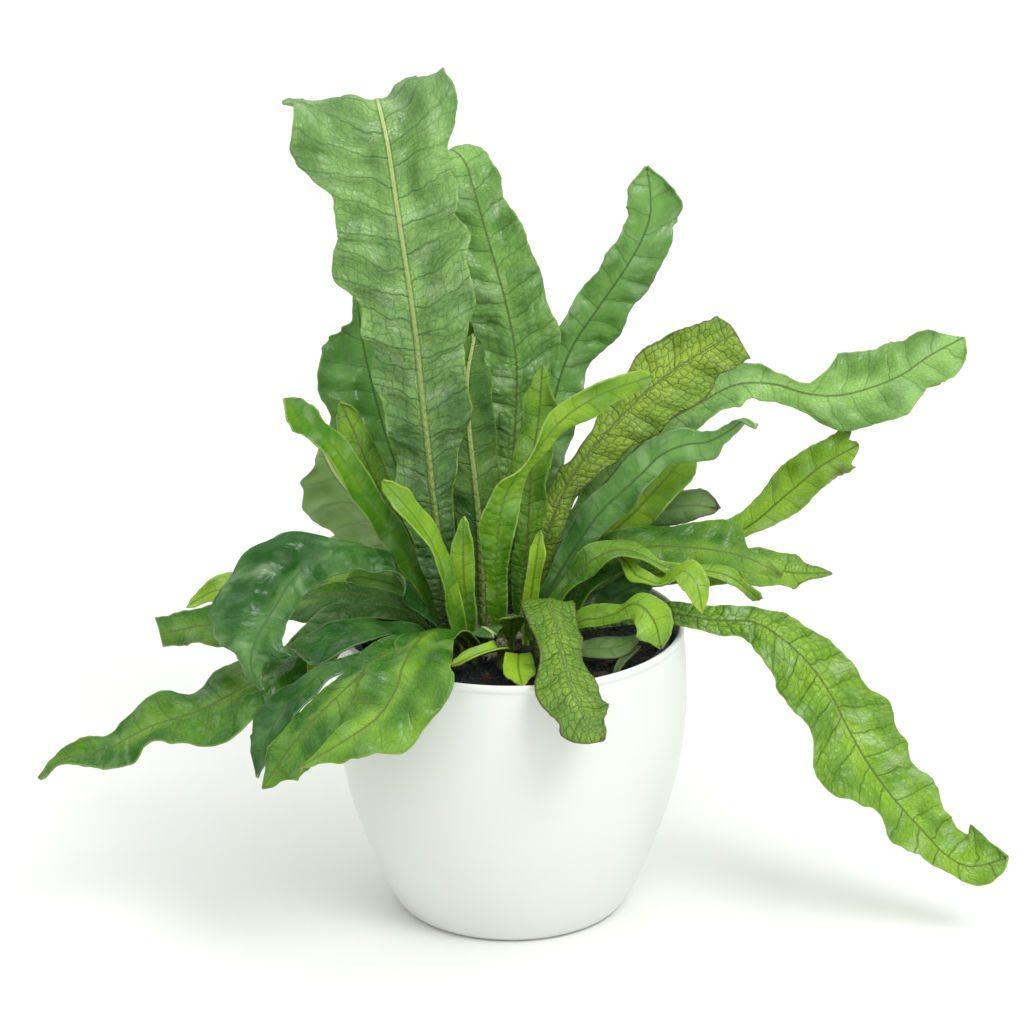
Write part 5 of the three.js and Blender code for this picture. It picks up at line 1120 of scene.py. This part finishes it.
def rootstock_tubes():
    """The branches as tubes with rounded, slightly lumpy ends; "axis" points along each branch."""
    rough = np.random.default_rng(9)
    points, faces, axes = [], [], []
    angle = np.arange(RHIZOME_SIDES) * 2 * math.pi / RHIZOME_SIDES
    for branch in RHIZOME_BRANCHES:
        length = even_places(branch, 2)[1]
        steps = round(length / RHIZOME_STEP)
        centre, _ = even_places(branch, steps)
        along = unit(np.gradient(centre, axis=0))
        up = square(np.broadcast_to([0.0, 0.0, 1.0], along.shape), along)
        over = np.cross(up, along)
        part = np.arange(steps + 1) / steps
        to_end = np.minimum(part, 1 - part) * length
        size = RHIZOME_RADIUS * np.sqrt(1 - np.clip(1 - to_end / (RHIZOME_END * RHIZOME_RADIUS), 0, 0.999) ** 2)
        size = size[:, None] * (1 + rough.normal(0, RHIZOME_ROUGH, (steps + 1, RHIZOME_SIDES)))
        ring = (centre[:, None] + up[:, None] * (size * np.sin(angle))[..., None]
                + over[:, None] * (size * np.cos(angle))[..., None])
        first = sum(len(p) for p in points)
        points += [ring.reshape(-1, 3), centre[:1], centre[-1:]]
        axes += [np.repeat(along, RHIZOME_SIDES, 0), along[:1], along[-1:]]
        faces += tube_faces(steps + 1, RHIZOME_SIDES, first)
    return mesh_object("rootstock", np.vstack(points), faces, [("axis", np.vstack(axes))])


class FERN_OT_cover_pot(bpy.types.Operator):
    """Builds the smooth cover pot"""

    bl_idname = "fern.cover_pot"
    bl_label = "Cover pot"

    def execute(self, context):
        given = context.scene.fern_pot
        pot = turned("cover_pot_body", pot_profile(), POT_SIDES)
        pot.data.shade_smooth()
        pot.data.materials.append(glazed_finish(given.glaze, given.sheen))
        dress(pot, "cover_pot")
        return {"FINISHED"}


class FERN_OT_grow_pot(bpy.types.Operator):
    """Builds the nursery pot inside the cover pot"""

    bl_idname = "fern.grow_pot"
    bl_label = "Grow pot"

    def execute(self, context):
        pot = turned("grow_pot_body", [*GROW_OUTSIDE, *GROW_INSIDE], GROW_SIDES)
        pot.data.materials.append(moulded_finish(context.scene.fern_pot.liner))
        dress(pot, "grow_pot")
        return {"FINISHED"}


class FERN_OT_soil(bpy.types.Operator):
    """Builds the soil with its crumbs and bark chips"""

    bl_idname = "fern.soil"
    bl_label = "Soil"

    def execute(self, context):
        given = context.scene.fern_soil
        darker, dark, light = ([c * part for c in given.colour] for part in (0.35, 0.5, 2.2))
        bed = soil_bed()
        bed.data.materials.append(crumbly_finish("damp_peat", darker, given.colour, 0.9))
        tree = scatter_tree()
        layers = [
            strewn_layer(name, bed, tree, {
                "Density": density * 100.0, "Size": given.crumb, "Stretch": stretch, "Seed": seed,
                "Uprightness": 0.5, "Disorder": disorder, "Finish": finish})
            for name, density, stretch, seed, disorder, finish in (
                ("soil_crumbs", given.crumbs, (1, 0.85, 0.7), 4, 1.0,
                 crumbly_finish("peat_crumbs", dark, light, 0.85)),
                ("soil_bark", given.chips, (3.4, 1.3, 0.5), 8, 0.25,
                 crumbly_finish("pine_bark", linear("2E2019"), linear("6B4A36"), 0.8)))]
        settle(layers)
        bed.data.shade_smooth()
        dress(bed, "soil")
        for layer in layers:
            dress(layer)
        return {"FINISHED"}


class FERN_OT_rootstock(bpy.types.Operator):
    """Builds the creeping rootstock and its scales"""

    bl_idname = "fern.rootstock"
    bl_label = "Rootstock"

    def execute(self, context):
        given = context.scene.fern_rootstock
        stock = rootstock_tubes()
        stock.data.shade_smooth()
        stock.data.materials.append(rootstock_finish("green_rootstock", linear("4A4A30"), given.colour))
        scales = strewn_layer("rootstock_scales", stock, scatter_tree(), {
            "Density": given.scales * 100.0, "Size": given.scale / 2, "Stretch": (0.42, 1.0, 0.12), "Seed": 3,
            "Uprightness": -2.0, "Disorder": 0.12,
            "Finish": rootstock_finish("papery_scales", linear("3B3324"), linear("A79C7C"))})
        settle([scales])
        dress(stock, "rhizome")
        dress(scales)
        return {"FINISHED"}


class FERN_OT_fronds(bpy.types.Operator):
    """Builds every frond as a quilted blade with veins and cut margins"""

    bl_idname = "fern.fronds"
    bl_label = "Fronds"

    def execute(self, context):
        given = context.scene.fern_fronds
        spacing = given.vein_spacing / MM
        tree = blade_tree()
        finishes = {key: frond_finish(f"fern_leaf_{key}", tone, spacing) for key, tone in TONES.items()}
        blades = []
        for seed, frond in enumerate(FRONDS, 1):
            points, blade, growth = blade_sheet(frond, seed, given.grid / MM)
            faces = grid_faces(*points.shape[:2])
            # The surface attribute carries the quilt and the strength of the painted sheen.
            surface = np.broadcast_to([frond.quilt, frond.sheen_and_fray, 0.0], blade.shape)
            piece = mesh_object(f"blade_{frond.name}", points, faces,
                                [("blade", blade), ("growth", growth), ("surface", surface)])
            tone = TONES[frond.tone]
            swell = given.swell * min(1, max(max(row[1:]) for row in frond.half) / FULL_SWELL)
            run_tree(piece, tree, {
                "Thickness": given.thickness, "Side veins": spacing, "Groove": given.groove / MM,
                "Cell": tone.cell, "Puff": tone.puff * frond.quilt * MM, "Quilt": given.quilt, "Swell": swell,
                "Net at the tip": tone.net_tip, "Finish": finishes[frond.tone]})
            blades.append(piece)
        settle(blades)
        for piece, frond in zip(blades, FRONDS):
            dress(piece, f"frond_{frond.name}")
        return {"FINISHED"}


class FERN_OT_stage(bpy.types.Operator):
    """Sets the pale floor, the soft studio light and the camera"""

    bl_idname = "fern.stage"
    bl_label = "Stage"

    def execute(self, context):
        given = context.scene.fern_stage
        floor = mesh_object("floor", [(x * FLOOR_HALF, y * FLOOR_HALF, FLOOR_Z)
                                      for x, y in ((-1, -1), (1, -1), (1, 1), (-1, 1))], [(0, 1, 2, 3)])
        material, tree = new_material("white_paper")
        end_material(tree, {"Base Color": (*given.floor, 1), "Roughness": 0.8})
        floor.data.materials.append(material)

        world = bpy.data.worlds.new("studio")
        world.use_nodes = True
        sky = world.node_tree
        across, _, up = add(sky, SPLIT, [add(sky, "ShaderNodeTexCoord").outputs["Generated"]]).outputs
        aside = add(sky, MATH, [across], operation="ABSOLUTE")
        level = given.front
        for value, near, far, bright in ((aside, SIDES_FROM, SIDES_FULL, given.sides),
                                         (up, 0.0, OVERHEAD_FULL, given.overhead)):
            level = add(sky, RANGE, {"Value": value, "From Min": near, "From Max": far, "To Min": level,
                                     "To Max": bright}, interpolation_type="SMOOTHSTEP")
        sky.links.new(level.outputs[0], sky.nodes["Background"].inputs["Strength"])
        sky.nodes["Background"].inputs["Color"].default_value = (1, 1, 1, 1)
        context.scene.world = world
        context.scene.view_settings.view_transform = "Standard"
        lamp = bpy.data.lights.new("key", "AREA")
        lamp.energy = given.key
        lamp.size = KEY_SIZE
        light = bpy.data.objects.new("key", lamp)
        light.location = KEY_PLACE
        light.rotation_euler = (Vector(KEY_AIM) - light.location).to_track_quat("-Z", "Y").to_euler()
        context.scene.collection.objects.link(light)

        lens = bpy.data.cameras.new("camera")
        lens.sensor_width = CAMERA_SENSOR
        lens.lens = CAMERA_LENS
        camera = bpy.data.objects.new("camera", lens)
        camera.location = [value * MM for value in CAMERA_PLACE]
        camera.rotation_euler = (math.radians(90 - CAMERA_TILT), 0, 0)
        context.scene.collection.objects.link(camera)
        context.scene.camera = camera
        return {"FINISHED"}


class FERN_PT_sidebar(bpy.types.Panel):
    """Lists the steps and the values that a user would change"""

    bl_label = "Potted fern"
    bl_idname = "FERN_PT_sidebar"
    bl_space_type = "VIEW_3D"
    bl_region_type = "UI"
    bl_category = "Fern"

    def draw(self, context):
        for operator, group in STEPS:
            box = self.layout.box()
            box.operator(operator.bl_idname)
            for key in SETTINGS[group].__annotations__:
                box.prop(getattr(context.scene, group), key)


SETTINGS = {
    "fern_pot": PotSettings,
    "fern_fronds": FrondSettings,
    "fern_soil": SoilSettings,
    "fern_rootstock": RootstockSettings,
    "fern_stage": StageSettings,
}
STEPS = (
    (FERN_OT_cover_pot, "fern_pot"),
    (FERN_OT_grow_pot, "fern_pot"),
    (FERN_OT_soil, "fern_soil"),
    (FERN_OT_rootstock, "fern_rootstock"),
    (FERN_OT_fronds, "fern_fronds"),
    (FERN_OT_stage, "fern_stage"),
)


def register():
    for group, settings in SETTINGS.items():
        bpy.utils.register_class(settings)
        setattr(bpy.types.Scene, group, PointerProperty(type=settings))
    for operator, _ in STEPS:
        bpy.utils.register_class(operator)
    bpy.utils.register_class(FERN_PT_sidebar)


def unregister():
    bpy.utils.unregister_class(FERN_PT_sidebar)
    for operator, _ in reversed(STEPS):
        bpy.utils.unregister_class(operator)
    for group, settings in SETTINGS.items():
        delattr(bpy.types.Scene, group)
        bpy.utils.unregister_class(settings)


def main():
    register()
    bpy.ops.fern.cover_pot()
    bpy.ops.fern.grow_pot()
    bpy.ops.fern.soil()
    bpy.ops.fern.rootstock()
    bpy.ops.fern.fronds()
    bpy.ops.fern.stage()


if __name__ == "__main__":
    main()
